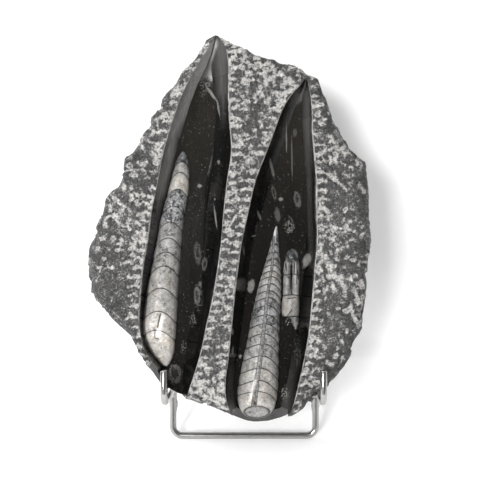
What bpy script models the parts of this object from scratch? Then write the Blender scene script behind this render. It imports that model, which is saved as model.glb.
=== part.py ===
"""Orthoceras fossil plate: a rough limestone slab with two polished channels, leaning on a bent wire stand.

The slab is drawn in its own frame: x to the right, y back from the front face, z up the slab.
Every piece is then leaned back together and lifted so that the stand's feet are on the table.
"""

import math

import bmesh
import bpy
from mathutils import Matrix, Vector, noise

MM = 0.001

LEAN = math.radians(20.0)
SHIFT_X, SHIFT_Y = 12.1, -30.45

# Edge of the slab: x, z and how far the front face stops short of it, in mm
SLAB_EDGE = (
    (-20.0, 124.5, 1.4), (-16.0, 122.5, 1.6), (-10.5, 120.5, 2.5), (-2.5, 117.5, 3.0), (2.5, 113.5, 3.0),
    (8.0, 111.5, 3.0), (14.0, 111.0, 3.0), (17.0, 109.0, 3.0), (21.0, 109.5, 3.5), (26.5, 108.0, 3.5),
    (32.5, 103.0, 3.0), (39.0, 100.0, 3.0), (41.5, 93.5, 3.0), (45.0, 85.0, 4.0), (48.0, 76.5, 5.0),
    (53.5, 67.5, 5.0), (58.0, 60.5, 5.0), (63.0, 54.0, 4.0), (67.0, 51.0, 3.0), (68.0, 44.0, 4.0),
    (69.0, 37.0, 5.0), (69.5, 27.5, 5.5), (70.0, 14.5, 6.0), (71.0, 2.0, 6.0), (68.5, -6.0, 5.0),
    (68.5, -17.5, 5.0), (67.5, -27.0, 5.0), (66.0, -36.5, 5.0), (65.5, -45.0, 5.5), (61.5, -54.5, 6.0),
    (58.0, -63.0, 7.0), (53.5, -70.5, 8.0), (49.3, -75.2, 8.0), (45.6, -79.6, 7.0), (39.2, -85.0, 6.0),
    (34.2, -89.6, 5.0), (29.5, -93.5, 4.0), (24.5, -96.5, 3.0), (17.5, -98.5, 2.0), (10.5, -99.5, 2.0),
    (4.0, -100.0, 2.0), (-3.0, -99.5, 2.0), (-10.0, -97.5, 2.5), (-14.5, -94.5, 3.5), (-21.5, -91.5, 5.0),
    (-29.5, -89.5, 4.0), (-37.0, -87.0, 2.5), (-42.5, -85.0, 1.5), (-46.5, -82.0, 1.2), (-50.5, -78.5, 1.0),
    (-54.5, -73.0, 1.0), (-58.5, -67.5, 1.0), (-62.0, -63.5, 1.2), (-65.0, -58.5, 1.6), (-67.0, -54.0, 2.2),
    (-69.5, -49.5, 3.5), (-74.0, -46.5, 5.0), (-80.5, -40.0, 7.0), (-85.5, -35.0, 8.0), (-90.5, -29.5, 9.0),
    (-93.5, -23.0, 9.5), (-95.0, -15.5, 10.0), (-95.5, -7.5, 10.0), (-94.5, 0.0, 9.0), (-92.0, 6.5, 8.0),
    (-90.0, 13.5, 6.5), (-87.5, 20.0, 5.0), (-85.0, 25.5, 4.0), (-84.0, 30.0, 3.5), (-80.5, 34.0, 3.0),
    (-76.0, 37.5, 3.0), (-75.0, 41.5, 3.0), (-73.5, 47.0, 3.0), (-73.0, 53.0, 3.0), (-71.0, 55.0, 3.0),
    (-68.0, 56.0, 3.0), (-65.5, 60.5, 3.0), (-64.5, 64.0, 3.0), (-61.5, 68.0, 3.0), (-57.5, 71.5, 2.5),
    (-58.0, 76.0, 2.5), (-56.0, 78.0, 2.5), (-53.0, 81.5, 2.5), (-52.5, 85.0, 2.2), (-47.5, 92.0, 2.0),
    (-43.5, 95.5, 1.6), (-40.0, 101.5, 1.3), (-35.0, 107.0, 1.1), (-30.5, 111.5, 1.0), (-28.0, 116.5, 1.0),
    (-25.0, 121.5, 1.1),
)
SLAB_CENTRE = (14.0, 5.0)
SLAB_BACK = 37.6

# Front face: shares of the way from the middle to its edge
FACE_SHARES = (0.14, 0.3, 0.46, 0.62, 0.77, 0.9)
# Front edge: share of the short stop left, depth
CHAMFER = ((1.0, 0.7), (0.62, 2.6), (0.26, 5.6), (0.0, 11.0))
# Flank behind the widest line: how far in, depth, share of the heel that sits on the left arm
FLANK = ((0.6, 17.5, 0.45), (2.2, 25.0, 1.0), (4.2, 31.0, 1.0), (7.5, 36.2, 0.8))
BACK_SHARES = (0.66, 0.33)
HEEL_AT = (-49.0, -81.5)
HEEL_OUT = 5.6
HEEL_REACH = 8.0

# Channels: z, then x of the left rim, right rim, left side of the floor, right side of the floor, depth
LEFT_CHANNEL = (
    (122.3, -20.2, -18.6, -19.9, -19.0, 1.0),
    (118.6, -21.9, -15.4, -21.2, -20.4, 5.5),
    (109.4, -27.6, -12.8, -24.8, -22.6, 9.5),
    (96.9, -34.8, -12.5, -31.0, -21.6, 12.0),
    (85.5, -39.9, -12.5, -35.5, -20.2, 13.0),
    (74.1, -43.9, -12.0, -39.0, -20.7, 13.6),
    (57.0, -49.0, -10.8, -44.0, -22.5, 14.2),
    (39.9, -52.4, -13.1, -48.2, -26.1, 14.6),
    (22.8, -55.9, -15.1, -52.4, -27.3, 15.0),
    (5.7, -58.1, -16.5, -55.3, -27.9, 15.0),
    (-11.4, -61.0, -18.8, -58.8, -28.5, 15.2),
    (-28.5, -62.5, -21.7, -60.8, -30.8, 15.4),
    (-45.6, -62.9, -25.6, -61.6, -35.6, 15.6),
    (-57.0, -60.4, -27.9, -59.6, -38.2, 15.8),
    (-68.4, -53.2, -31.1, -52.4, -39.6, 16.0),
    (-79.8, -48.2, -34.8, -47.6, -40.2, 16.2),
    (-95.0, -46.0, -39.0, -45.4, -41.0, 16.4),
)
RIGHT_CHANNEL = (
    (97.6, 31.2, 32.4, 31.6, 32.2, 0.9),
    (95.2, 29.6, 33.1, 31.2, 32.2, 5.0),
    (90.1, 25.0, 34.2, 28.8, 30.6, 9.0),
    (85.5, 21.6, 34.8, 27.0, 30.0, 11.0),
    (76.9, 17.3, 35.3, 24.0, 30.4, 12.6),
    (68.4, 14.2, 35.3, 21.3, 30.6, 13.4),
    (57.0, 10.0, 36.2, 17.8, 31.4, 14.0),
    (39.9, 3.4, 37.6, 11.9, 33.2, 14.6),
    (22.8, -0.6, 37.9, 7.1, 33.8, 15.0),
    (5.7, -4.3, 38.2, 2.4, 33.2, 15.2),
    (-11.4, -6.8, 36.8, -0.6, 32.0, 15.4),
    (-28.5, -8.8, 35.3, -2.8, 29.9, 15.6),
    (-45.6, -10.5, 33.6, -5.0, 27.9, 15.8),
    (-62.7, -12.3, 30.8, -7.4, 24.9, 16.0),
    (-76.9, -14.0, 27.6, -9.6, 22.5, 16.2),
    (-87.0, -13.2, 25.2, -9.4, 20.2, 16.4),
    (-94.5, -10.6, 22.6, -7.2, 17.8, 16.6),
    (-106.0, -6.0, 18.4, -3.0, 14.0, 16.8),
)

# Shells: z, x and y of the axis, radius, then how far the ring is tipped to the front, in degrees
LEFT_SHELL = (
    (58.6, -39.7, 14.6, 0.5, 0.0), (56.4, -39.7, 14.6, 1.9, 0.0), (53.0, -40.0, 14.6, 3.5, 0.0),
    (50.4, -40.2, 14.6, 4.0, 0.0), (49.4, -40.3, 14.6, 4.0, 0.0), (44.6, -40.9, 14.6, 5.1, 0.0),
    (40.4, -41.5, 14.7, 5.4, 0.0), (39.4, -41.7, 14.7, 5.4, 0.0), (32.5, -42.8, 14.8, 6.1, 0.0),
    (25.4, -44.5, 14.9, 6.3, 0.0), (24.4, -44.7, 14.9, 6.3, 0.0), (16.6, -46.4, 15.0, 7.0, 0.0),
    (8.4, -47.4, 15.0, 7.0, 0.0), (7.4, -47.6, 15.0, 7.0, 0.0), (-1.2, -48.8, 15.1, 7.8, 0.0),
    (-9.0, -49.9, 15.1, 8.0, 0.0), (-10.0, -50.0, 15.2, 8.0, 0.0), (-16.5, -51.0, 15.2, 8.8, 0.0),
    (-22.2, -51.7, 15.3, 9.0, 0.0), (-23.2, -51.8, 15.3, 9.0, 0.0), (-29.5, -52.5, 15.4, 9.7, 0.0),
    (-35.8, -53.2, 15.4, 9.8, 0.0), (-36.8, -53.3, 15.5, 9.8, 0.0), (-43.0, -54.0, 15.5, 10.3, 0.0),
    (-49.0, -54.2, 15.6, 10.1, 6.0), (-56.2, -53.3, 15.4, 8.6, 14.0), (-62.0, -51.8, 15.0, 6.2, 20.0),
    (-66.0, -50.8, 14.7, 3.6, 24.0), (-68.6, -50.2, 14.5, 1.2, 26.0),
)
RIGHT_SHELL = (
    (14.2, 15.7, 15.2, 0.5, 0.0), (5.9, 15.0, 15.2, 2.1, 0.0), (-0.9, 14.4, 15.3, 3.2, 0.0),
    (-1.7, 14.3, 15.3, 3.1, 0.0), (-8.4, 13.5, 15.4, 4.7, 0.0), (-9.2, 13.4, 15.4, 4.6, 0.0),
    (-15.8, 12.6, 15.5, 6.0, 0.0), (-16.6, 12.5, 15.5, 5.9, 0.0), (-23.8, 11.5, 15.6, 7.1, 0.0),
    (-24.6, 11.4, 15.6, 7.0, 0.0), (-32.8, 10.3, 15.7, 8.0, 0.0), (-33.6, 10.2, 15.7, 7.8, 0.0),
    (-38.4, 9.6, 15.8, 8.6, 0.0), (-43.2, 9.0, 15.8, 8.7, 0.0), (-44.0, 8.9, 15.8, 8.5, 0.0),
    (-49.3, 8.4, 15.9, 9.4, 0.0), (-54.9, 7.8, 15.9, 9.6, 0.0), (-55.7, 7.7, 15.9, 9.4, 0.0),
    (-61.8, 6.9, 16.0, 10.6, 0.0), (-68.0, 6.2, 16.1, 11.0, 0.0), (-68.8, 6.1, 16.1, 10.8, 0.0),
    (-75.2, 5.4, 16.2, 11.8, 0.0), (-81.4, 4.8, 16.2, 12.0, 0.0), (-82.2, 4.7, 16.2, 11.8, 0.0),
    (-86.2, 4.4, 15.6, 11.9, 8.0), (-90.4, 4.2, 14.4, 11.2, 22.0), (-93.6, 4.1, 13.0, 9.8, 34.0),
    (-95.4, 4.0, 12.0, 7.9, 41.0),
)
FRAGMENT = (
    (-2.0, 24.6, 15.3, 2.6, 0.0), (-4.0, 24.6, 15.3, 3.6, 0.0), (-7.4, 24.6, 15.4, 3.9, 0.0),
    (-8.4, 24.5, 15.4, 3.5, 0.0), (-24.6, 24.4, 15.6, 3.8, 0.0), (-26.6, 24.3, 15.6, 5.0, 0.0),
    (-34.0, 24.0, 15.7, 5.3, 0.0), (-38.6, 23.8, 15.7, 5.1, 0.0), (-39.6, 24.4, 15.8, 3.4, 0.0),
    (-46.5, 26.0, 15.9, 1.6, 0.0),
)
SEAT_GAP = 0.35

# Stand: bent wire of one gauge
WIRE = 2.1
ARM_LEFT, ARM_RIGHT = -48.6, 41.5
ARM_Z = -86.9
HOOK_Y = -3.0
HOOK_TIP_Z = -68.1
LEG_Y = 40.0
FOOT_Z = -117.4
WELD_GAP = 0.3
REST_FOOT_Z = -103.0
REST_TOP_Z = 12.0
REAR_TOP_Z = 0.0
REAR_PARALLEL = 16.0
REAR_REACH = 94.3
WIRE_SIDES = 12

COLLECTION = "orthoceras fossil plate"
# Half a facet, so that a facet of each foot lies flat on the table
HALF_FACET = 180.0 / WIRE_SIDES
SHIFT_Z = WIRE * math.cos(math.radians(HALF_FACET)) + LEG_Y * math.sin(LEAN) - FOOT_Z * math.cos(LEAN)


def clear_scene():
    for obj in list(bpy.data.objects):
        bpy.data.objects.remove(obj, do_unlink=True)


def collection(name, cutters=False):
    made = bpy.data.collections.new(name)
    bpy.context.scene.collection.children.link(made)
    made.hide_render = cutters
    return made


def material(name, colour, roughness, metallic=0.0):
    made = bpy.data.materials.new(name)
    made.use_nodes = True
    shader = made.node_tree.nodes["Principled BSDF"]
    shader.inputs["Base Color"].default_value = (*colour, 1.0)
    shader.inputs["Roughness"].default_value = roughness
    shader.inputs["Metallic"].default_value = metallic
    return made


def place(obj):
    """Leans a piece back with the slab and lifts it onto the table."""
    obj.rotation_euler = (-LEAN, 0.0, 0.0)
    obj.location = (SHIFT_X * MM, SHIFT_Y * MM, SHIFT_Z * MM)


def cutter_look(obj):
    obj.hide_render = True
    obj.display_type = "WIRE"


def object_of(name, mesh, group, look=None):
    obj = bpy.data.objects.new(name, mesh)
    group.objects.link(obj)
    if look:
        mesh.materials.append(look)
    place(obj)
    return obj


def loft(name, rings, group, look=None, caps="flat"):
    """Closed body through unlike sections. A "fan" cap meets in one point, for an end that isn't flat."""
    shape = bmesh.new()
    rows = [[shape.verts.new(Vector(point) * MM) for point in ring] for ring in rings]
    count = len(rows[0])
    for near, far in zip(rows, rows[1:]):
        for i in range(count):
            j = (i + 1) % count
            shape.faces.new((near[i], near[j], far[j], far[i]))
    for row, back in ((rows[0], True), (rows[-1], False)):
        if caps == "flat":
            shape.faces.new(reversed(row) if back else row)
            continue
        middle = shape.verts.new(sum((v.co for v in row), Vector()) / count)
        for i in range(count):
            j = (i + 1) % count
            pair = (row[j], row[i]) if back else (row[i], row[j])
            shape.faces.new((*pair, middle))
    bmesh.ops.recalc_face_normals(shape, faces=shape.faces)
    bmesh.ops.triangulate(shape, faces=[face for face in shape.faces if len(face.verts) > 4])
    mesh = bpy.data.meshes.new(name)
    shape.to_mesh(mesh)
    shape.free()
    return object_of(name, mesh, group, look)


def uneven(x, z, scale, offset):
    return noise.noise(Vector((x / scale + offset, z / scale - offset, offset)))


def toward_centre(x, z, distance):
    across, up = SLAB_CENTRE[0] - x, SLAB_CENTRE[1] - z
    length = math.hypot(across, up)
    return x + across * distance / length, z + up * distance / length


def face_depth(x, z):
    """Dressed face: low swells with small pits of the point chisel."""
    return 0.55 * uneven(x, z, 21.0, 3.1) + 0.3 * uneven(x, z, 6.5, 8.7)


def heel(x, z):
    away = math.hypot(x - HEEL_AT[0], z - HEEL_AT[1])
    return HEEL_OUT * math.exp(-((away / HEEL_REACH) ** 2))


def slab_rings():
    edge = [toward_centre(x, z, stop) for x, z, stop in SLAB_EDGE]
    rings = []
    for share in FACE_SHARES:
        ring = []
        for x, z in edge:
            x = SLAB_CENTRE[0] + (x - SLAB_CENTRE[0]) * share
            z = SLAB_CENTRE[1] + (z - SLAB_CENTRE[1]) * share
            ring.append((x, face_depth(x, z), z))
        rings.append(ring)
    for left, depth in CHAMFER:
        ring = []
        for x, z, stop in SLAB_EDGE:
            rough = 0.35 * left * stop * uneven(x, z, 7.0, depth)
            across, up = toward_centre(x, z, stop * left + rough)
            ring.append((across, depth + 0.12 * stop * uneven(x, z, 9.0, 5.0 + depth), up))
        rings.append(ring)
    for inward, depth, share in FLANK:
        ring = []
        for x, z, _ in SLAB_EDGE:
            rough = 1.3 * uneven(x, z, 8.0, 11.0 + depth)
            across, up = toward_centre(x, z, inward + rough - share * heel(x, z))
            ring.append((across, depth, up))
        rings.append(ring)
    back = [toward_centre(x, z, 10.5) for x, z, _ in SLAB_EDGE]
    for share in (1.0, *BACK_SHARES):
        ring = []
        for x, z in back:
            across = SLAB_CENTRE[0] + (x - SLAB_CENTRE[0]) * share
            up = SLAB_CENTRE[1] + (z - SLAB_CENTRE[1]) * share
            ring.append((across, SLAB_BACK, up))
        rings.append(ring)
    return rings


def channel_rings(stations):
    """Sections across a channel: open in front, walls that curve in to a flat floor."""
    rings = []
    for z, rim_left, rim_right, floor_left, floor_right, depth in stations:
        ring = [(rim_left, -5.0, z)]
        for rim, floor, turn in ((rim_left, floor_left, 1.0), (rim_right, floor_right, -1.0)):
            inset = 0.08 * (floor_right - floor_left) * turn
            wall = [
                (rim, 0.0, z),
                (rim + 0.42 * (floor - rim), 0.5 * depth, z),
                (rim + 0.8 * (floor - rim), 0.86 * depth, z),
                (floor + inset, depth, z),
            ]
            ring += wall if turn > 0 else reversed(wall)
        ring.append((rim_right, -5.0, z))
        rings.append(ring)
    return rings


def shell_rings(stations, sides, grow=0.0, stretch=0.0):
    rings = []
    first, last = stations[0], stations[-1]
    for station in stations:
        z, x, y, radius, tip = station
        if station is first:
            z += stretch
        if station is last:
            z -= stretch
        lean = Matrix.Rotation(math.radians(-tip), 3, "X")
        ring = []
        for i in range(sides):
            turn = 2.0 * math.pi * i / sides
            offset = Vector((math.cos(turn), math.sin(turn), 0.0)) * (radius + grow)
            ring.append(Vector((x, y, z)) + lean @ offset)
        rings.append(ring)
    return rings


def seat_stations(stations, apart):
    """Fewer rings are enough for the hollow that a long shell lies in."""
    kept = [stations[0]]
    for station in stations[1:-1]:
        if abs(station[0] - kept[-1][0]) > apart or station[4] > 0.0:
            kept.append(station)
    kept.append(stations[-1])
    return kept


def bend(points, radius, steps=4):
    """Polyline with each inner corner rounded to the given radius."""
    points = [Vector(point) for point in points]
    path = [points[0]]
    for before, corner, after in zip(points, points[1:], points[2:]):
        arm_in = (before - corner).normalized()
        arm_out = (after - corner).normalized()
        half = arm_in.angle(arm_out) / 2.0
        reach = radius / math.tan(half)
        centre = corner + (arm_in + arm_out).normalized() * (radius / math.sin(half))
        start = corner + arm_in * reach - centre
        turn = math.pi - 2.0 * half
        axis = start.cross(corner + arm_out * reach - centre).normalized()
        for i in range(steps + 1):
            path.append(centre + Matrix.Rotation(turn * i / steps, 3, axis) @ start)
    path.append(points[-1])
    return path


def wire(name, points, group, look, turned):
    """Round bar along a path. It is turned about its own line so that a facet lies on the table."""
    curve = bpy.data.curves.new(name, "CURVE")
    curve.dimensions = "3D"
    curve.bevel_depth = WIRE * MM
    curve.bevel_resolution = WIRE_SIDES // 2 - 2
    curve.use_fill_caps = True
    spline = curve.splines.new("POLY")
    spline.points.add(len(points) - 1)
    for target, point in zip(spline.points, points):
        target.co = (*(Vector(point) * MM), 1.0)
        target.tilt = math.radians(turned)
    obj = bpy.data.objects.new(name, curve)
    group.objects.link(obj)
    curve.materials.append(look)
    place(obj)
    weld = obj.modifiers.new("weld", "WELD")
    weld.merge_threshold = 0.00001
    return obj


def cut(obj, tool, name):
    modifier = obj.modifiers.new(name, "BOOLEAN")
    modifier.operation = "DIFFERENCE"
    modifier.solver = "EXACT"
    modifier.object = tool


def main():
    clear_scene()
    parts = collection(COLLECTION)
    tools = collection("cutters", cutters=True)

    limestone = material("dark limestone", (0.09, 0.088, 0.085), 0.6)
    calcite = material("pale calcite", (0.46, 0.43, 0.38), 0.22)
    nickel = material("bright nickel wire", (0.66, 0.65, 0.63), 0.16, 1.0)

    matrix = loft("matrix", slab_rings(), parts, limestone, caps="fan")
    channels = (("channel left", LEFT_CHANNEL), ("channel right", RIGHT_CHANNEL))
    for name, stations in channels:
        tool = loft(name, channel_rings(stations), tools)
        cutter_look(tool)
        cut(matrix, tool, name)
    shells = (
        ("orthoceras_left", LEFT_SHELL, 24, 4.5),
        ("orthoceras_right", RIGHT_SHELL, 24, 3.5),
        ("orthoceras_fragment", FRAGMENT, 14, 0.5),
    )
    for name, stations, sides, apart in shells:
        loft(name, shell_rings(stations, sides), parts, calcite, caps="fan")
        seat = shell_rings(seat_stations(stations, apart), sides, SEAT_GAP + 0.25, SEAT_GAP + 0.3)
        tool = loft("seat of " + name, seat, tools, caps="fan")
        cutter_look(tool)
        cut(matrix, tool, name)

    front = [
        (ARM_LEFT, HOOK_Y, HOOK_TIP_Z),
        (ARM_LEFT, HOOK_Y, ARM_Z),
        (ARM_LEFT, LEG_Y, ARM_Z),
        (ARM_LEFT, LEG_Y, FOOT_Z),
        (ARM_RIGHT, LEG_Y, FOOT_Z),
        (ARM_RIGHT, LEG_Y, ARM_Z),
        (ARM_RIGHT, HOOK_Y, ARM_Z),
        (ARM_RIGHT, HOOK_Y, HOOK_TIP_Z),
    ]
    wire("stand_front", bend(front, 6.0), parts, nickel, math.degrees(LEAN) + HALF_FACET)

    behind = 2.0 * WIRE + WELD_GAP
    rest_y = SLAB_BACK + WELD_GAP + WIRE
    rest = [
        (ARM_LEFT, LEG_Y + behind + 0.3, REST_FOOT_Z),
        (ARM_LEFT, rest_y, REST_TOP_Z),
        (ARM_RIGHT, rest_y, REST_TOP_Z),
        (ARM_RIGHT, LEG_Y + behind + 0.3, REST_FOOT_Z),
    ]
    wire("stand_back_rest", bend(rest, 7.0), parts, nickel, 0.0)

    slope = (LEG_Y + behind + 0.3 - rest_y) / (REST_TOP_Z - REST_FOOT_Z)
    top_y = rest_y + slope * (REST_TOP_Z - REAR_TOP_Z) + behind + 0.1
    low_z = REAR_TOP_Z - REAR_PARALLEL
    low_y = top_y + slope * REAR_PARALLEL
    foot_y = LEG_Y + REAR_REACH * math.cos(LEAN)
    foot_z = FOOT_Z + REAR_REACH * math.sin(LEAN)
    rear = [
        (ARM_LEFT, top_y, REAR_TOP_Z),
        (ARM_LEFT, low_y, low_z),
        (ARM_LEFT, foot_y, foot_z),
        (ARM_RIGHT, foot_y, foot_z),
        (ARM_RIGHT, low_y, low_z),
        (ARM_RIGHT, top_y, REAR_TOP_Z),
    ]
    wire("stand_rear_leg", bend(rear, 7.0), parts, nickel, HALF_FACET)


main()
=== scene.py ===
"""Looks of the orthoceras fossil plate: pecked limestone, polished channels, calcite shells, nickel wire.

The plate is drawn in its own frame, as in the CAD source: x to the right, y back from the front face,
z up the slab, all in mm. Each piece is then leaned back and lifted onto the table in the same way.
"""

import math
import random
from contextlib import contextmanager

import bmesh
import bpy
import numpy as np
from mathutils import Matrix, Vector, kdtree, noise


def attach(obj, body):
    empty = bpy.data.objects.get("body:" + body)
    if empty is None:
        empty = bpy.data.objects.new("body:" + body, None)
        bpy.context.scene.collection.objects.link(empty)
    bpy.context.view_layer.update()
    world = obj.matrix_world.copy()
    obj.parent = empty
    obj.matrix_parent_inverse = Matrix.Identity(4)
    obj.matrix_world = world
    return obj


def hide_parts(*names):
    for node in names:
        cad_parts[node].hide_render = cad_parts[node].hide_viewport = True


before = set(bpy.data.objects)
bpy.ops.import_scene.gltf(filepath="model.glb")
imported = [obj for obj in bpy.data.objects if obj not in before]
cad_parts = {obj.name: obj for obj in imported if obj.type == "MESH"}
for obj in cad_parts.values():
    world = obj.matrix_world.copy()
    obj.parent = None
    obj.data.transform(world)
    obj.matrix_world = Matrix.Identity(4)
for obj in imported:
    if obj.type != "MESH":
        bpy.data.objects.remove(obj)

MM = 0.001
LEAN = math.radians(20.0)
SHIFT = (12.1, -30.45, 126.029)

# Edge of the slab: x, z and how far the front face stops short of it
SLAB_EDGE = (
    (-20.0, 124.5, 1.4), (-16.0, 122.5, 1.6), (-10.5, 120.5, 2.5), (-2.5, 117.5, 3.0), (2.5, 113.5, 3.0),
    (8.0, 111.5, 3.0), (14.0, 111.0, 3.0), (17.0, 109.0, 3.0), (21.0, 109.5, 3.5), (26.5, 108.0, 3.5),
    (32.5, 103.0, 3.0), (39.0, 100.0, 3.0), (41.5, 93.5, 3.0), (45.0, 85.0, 4.0), (48.0, 76.5, 5.0),
    (53.5, 67.5, 5.0), (58.0, 60.5, 5.0), (63.0, 54.0, 4.0), (67.0, 51.0, 3.0), (68.0, 44.0, 4.0),
    (69.0, 37.0, 5.0), (69.5, 27.5, 5.5), (70.0, 14.5, 6.0), (71.0, 2.0, 6.0), (68.5, -6.0, 5.0),
    (68.5, -17.5, 5.0), (67.5, -27.0, 5.0), (66.0, -36.5, 5.0), (65.5, -45.0, 5.5), (61.5, -54.5, 6.0),
    (58.0, -63.0, 7.0), (53.5, -70.5, 8.0), (49.3, -75.2, 8.0), (45.6, -79.6, 7.0), (39.2, -85.0, 6.0),
    (34.2, -89.6, 5.0), (29.5, -93.5, 4.0), (24.5, -96.5, 3.0), (17.5, -98.5, 2.0), (10.5, -99.5, 2.0),
    (4.0, -100.0, 2.0), (-3.0, -99.5, 2.0), (-10.0, -97.5, 2.5), (-14.5, -94.5, 3.5), (-21.5, -91.5, 5.0),
    (-29.5, -89.5, 4.0), (-37.0, -87.0, 2.5), (-42.5, -85.0, 1.5), (-46.5, -82.0, 1.2), (-50.5, -78.5, 1.0),
    (-54.5, -73.0, 1.0), (-58.5, -67.5, 1.0), (-62.0, -63.5, 1.2), (-65.0, -58.5, 1.6), (-67.0, -54.0, 2.2),
    (-69.5, -49.5, 3.5), (-74.0, -46.5, 5.0), (-80.5, -40.0, 7.0), (-85.5, -35.0, 8.0), (-90.5, -29.5, 9.0),
    (-93.5, -23.0, 9.5), (-95.0, -15.5, 10.0), (-95.5, -7.5, 10.0), (-94.5, 0.0, 9.0), (-92.0, 6.5, 8.0),
    (-90.0, 13.5, 6.5), (-87.5, 20.0, 5.0), (-85.0, 25.5, 4.0), (-84.0, 30.0, 3.5), (-80.5, 34.0, 3.0),
    (-76.0, 37.5, 3.0), (-75.0, 41.5, 3.0), (-73.5, 47.0, 3.0), (-73.0, 53.0, 3.0), (-71.0, 55.0, 3.0),
    (-68.0, 56.0, 3.0), (-65.5, 60.5, 3.0), (-64.5, 64.0, 3.0), (-61.5, 68.0, 3.0), (-57.5, 71.5, 2.5),
    (-58.0, 76.0, 2.5), (-56.0, 78.0, 2.5), (-53.0, 81.5, 2.5), (-52.5, 85.0, 2.2), (-47.5, 92.0, 2.0),
    (-43.5, 95.5, 1.6), (-40.0, 101.5, 1.3), (-35.0, 107.0, 1.1), (-30.5, 111.5, 1.0), (-28.0, 116.5, 1.0),
    (-25.0, 121.5, 1.1),
)
SLAB_CENTRE = (14.0, 5.0)
# Rings of the slab from the middle of its face to the middle of its back: shares of the face, what is left
# of the stop and the depth in the chamfer, then how far in, the depth and the share of the heel in the flank
FACE_SHARES = (0.14, 0.3, 0.46, 0.62, 0.77, 0.9)
CHAMFER = ((1.0, 0.7), (0.62, 2.6), (0.26, 5.6), (0.0, 11.0))
FLANK = ((0.6, 17.5, 0.45), (2.2, 25.0, 1.0), (4.2, 31.0, 1.0), (7.5, 36.2, 0.8))
SLAB_BACK, BACK_STOP = 37.6, 10.5
BACK_SHARES = (1.0, 0.66, 0.33)
# The heel is a bulge of the flank below the left channel
HEEL_AT, HEEL_OUT, HEEL_REACH = (-49.0, -81.5), 5.6, 8.0

# Channels: z, then x of the left rim, right rim, left side of the floor, right side of the floor, depth
LEFT_CHANNEL = (
    (122.3, -20.2, -18.6, -19.9, -19.0, 1.0),
    (118.6, -21.9, -15.4, -21.2, -20.4, 5.5),
    (109.4, -27.6, -12.8, -24.8, -22.6, 9.5),
    (96.9, -34.8, -12.5, -31.0, -21.6, 12.0),
    (85.5, -39.9, -12.5, -35.5, -20.2, 13.0),
    (74.1, -43.9, -12.0, -39.0, -20.7, 13.6),
    (57.0, -49.0, -10.8, -44.0, -22.5, 14.2),
    (39.9, -52.4, -13.1, -48.2, -26.1, 14.6),
    (22.8, -55.9, -15.1, -52.4, -27.3, 15.0),
    (5.7, -58.1, -16.5, -55.3, -27.9, 15.0),
    (-11.4, -61.0, -18.8, -58.8, -28.5, 15.2),
    (-28.5, -62.5, -21.7, -60.8, -30.8, 15.4),
    (-45.6, -62.9, -25.6, -61.6, -35.6, 15.6),
    (-57.0, -60.4, -27.9, -59.6, -38.2, 15.8),
    (-68.4, -53.2, -31.1, -52.4, -39.6, 16.0),
    (-79.8, -48.2, -34.8, -47.6, -40.2, 16.2),
    (-95.0, -46.0, -39.0, -45.4, -41.0, 16.4),
)
RIGHT_CHANNEL = (
    (97.6, 31.2, 32.4, 31.6, 32.2, 0.9),
    (95.2, 29.6, 33.1, 31.2, 32.2, 5.0),
    (90.1, 25.0, 34.2, 28.8, 30.6, 9.0),
    (85.5, 21.6, 34.8, 27.0, 30.0, 11.0),
    (76.9, 17.3, 35.3, 24.0, 30.4, 12.6),
    (68.4, 14.2, 35.3, 21.3, 30.6, 13.4),
    (57.0, 10.0, 36.2, 17.8, 31.4, 14.0),
    (39.9, 3.4, 37.6, 11.9, 33.2, 14.6),
    (22.8, -0.6, 37.9, 7.1, 33.8, 15.0),
    (5.7, -4.3, 38.2, 2.4, 33.2, 15.2),
    (-11.4, -6.8, 36.8, -0.6, 32.0, 15.4),
    (-28.5, -8.8, 35.3, -2.8, 29.9, 15.6),
    (-45.6, -10.5, 33.6, -5.0, 27.9, 15.8),
    (-62.7, -12.3, 30.8, -7.4, 24.9, 16.0),
    (-76.9, -14.0, 27.6, -9.6, 22.5, 16.2),
    (-87.0, -13.2, 25.2, -9.4, 20.2, 16.4),
    (-94.5, -10.6, 22.6, -7.2, 17.8, 16.6),
    (-106.0, -6.0, 18.4, -3.0, 14.0, 16.8),
)

# Shells: z, x and y of the axis, radius, then how far the ring is tipped to the front, in degrees
LEFT_SHELL = (
    (58.6, -39.7, 14.6, 0.5, 0.0), (56.4, -39.7, 14.6, 1.9, 0.0), (53.0, -40.0, 14.6, 3.4, 0.0),
    (49.9, -40.3, 14.6, 4.1, 0.0), (44.6, -40.9, 14.6, 4.9, 0.0), (39.9, -41.6, 14.7, 5.5, 0.0),
    (32.5, -42.8, 14.8, 6.0, 0.0), (24.9, -44.6, 14.9, 6.5, 0.0), (16.6, -46.4, 15.0, 6.9, 0.0),
    (7.9, -47.5, 15.0, 7.2, 0.0), (-1.2, -48.8, 15.1, 7.8, 0.0), (-9.5, -49.9, 15.1, 8.2, 0.0),
    (-16.5, -51.0, 15.2, 8.7, 0.0), (-22.7, -51.8, 15.3, 9.2, 0.0), (-29.5, -52.5, 15.4, 9.6, 0.0),
    (-36.3, -53.2, 15.4, 10.0, 0.0), (-43.0, -54.0, 15.5, 10.3, 0.0), (-49.0, -54.2, 15.6, 10.1, 6.0),
    (-56.2, -53.3, 15.4, 8.6, 14.0), (-62.0, -51.8, 15.0, 6.2, 20.0), (-66.0, -50.8, 14.7, 3.6, 24.0),
    (-68.6, -50.2, 14.5, 1.2, 26.0),
)
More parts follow.
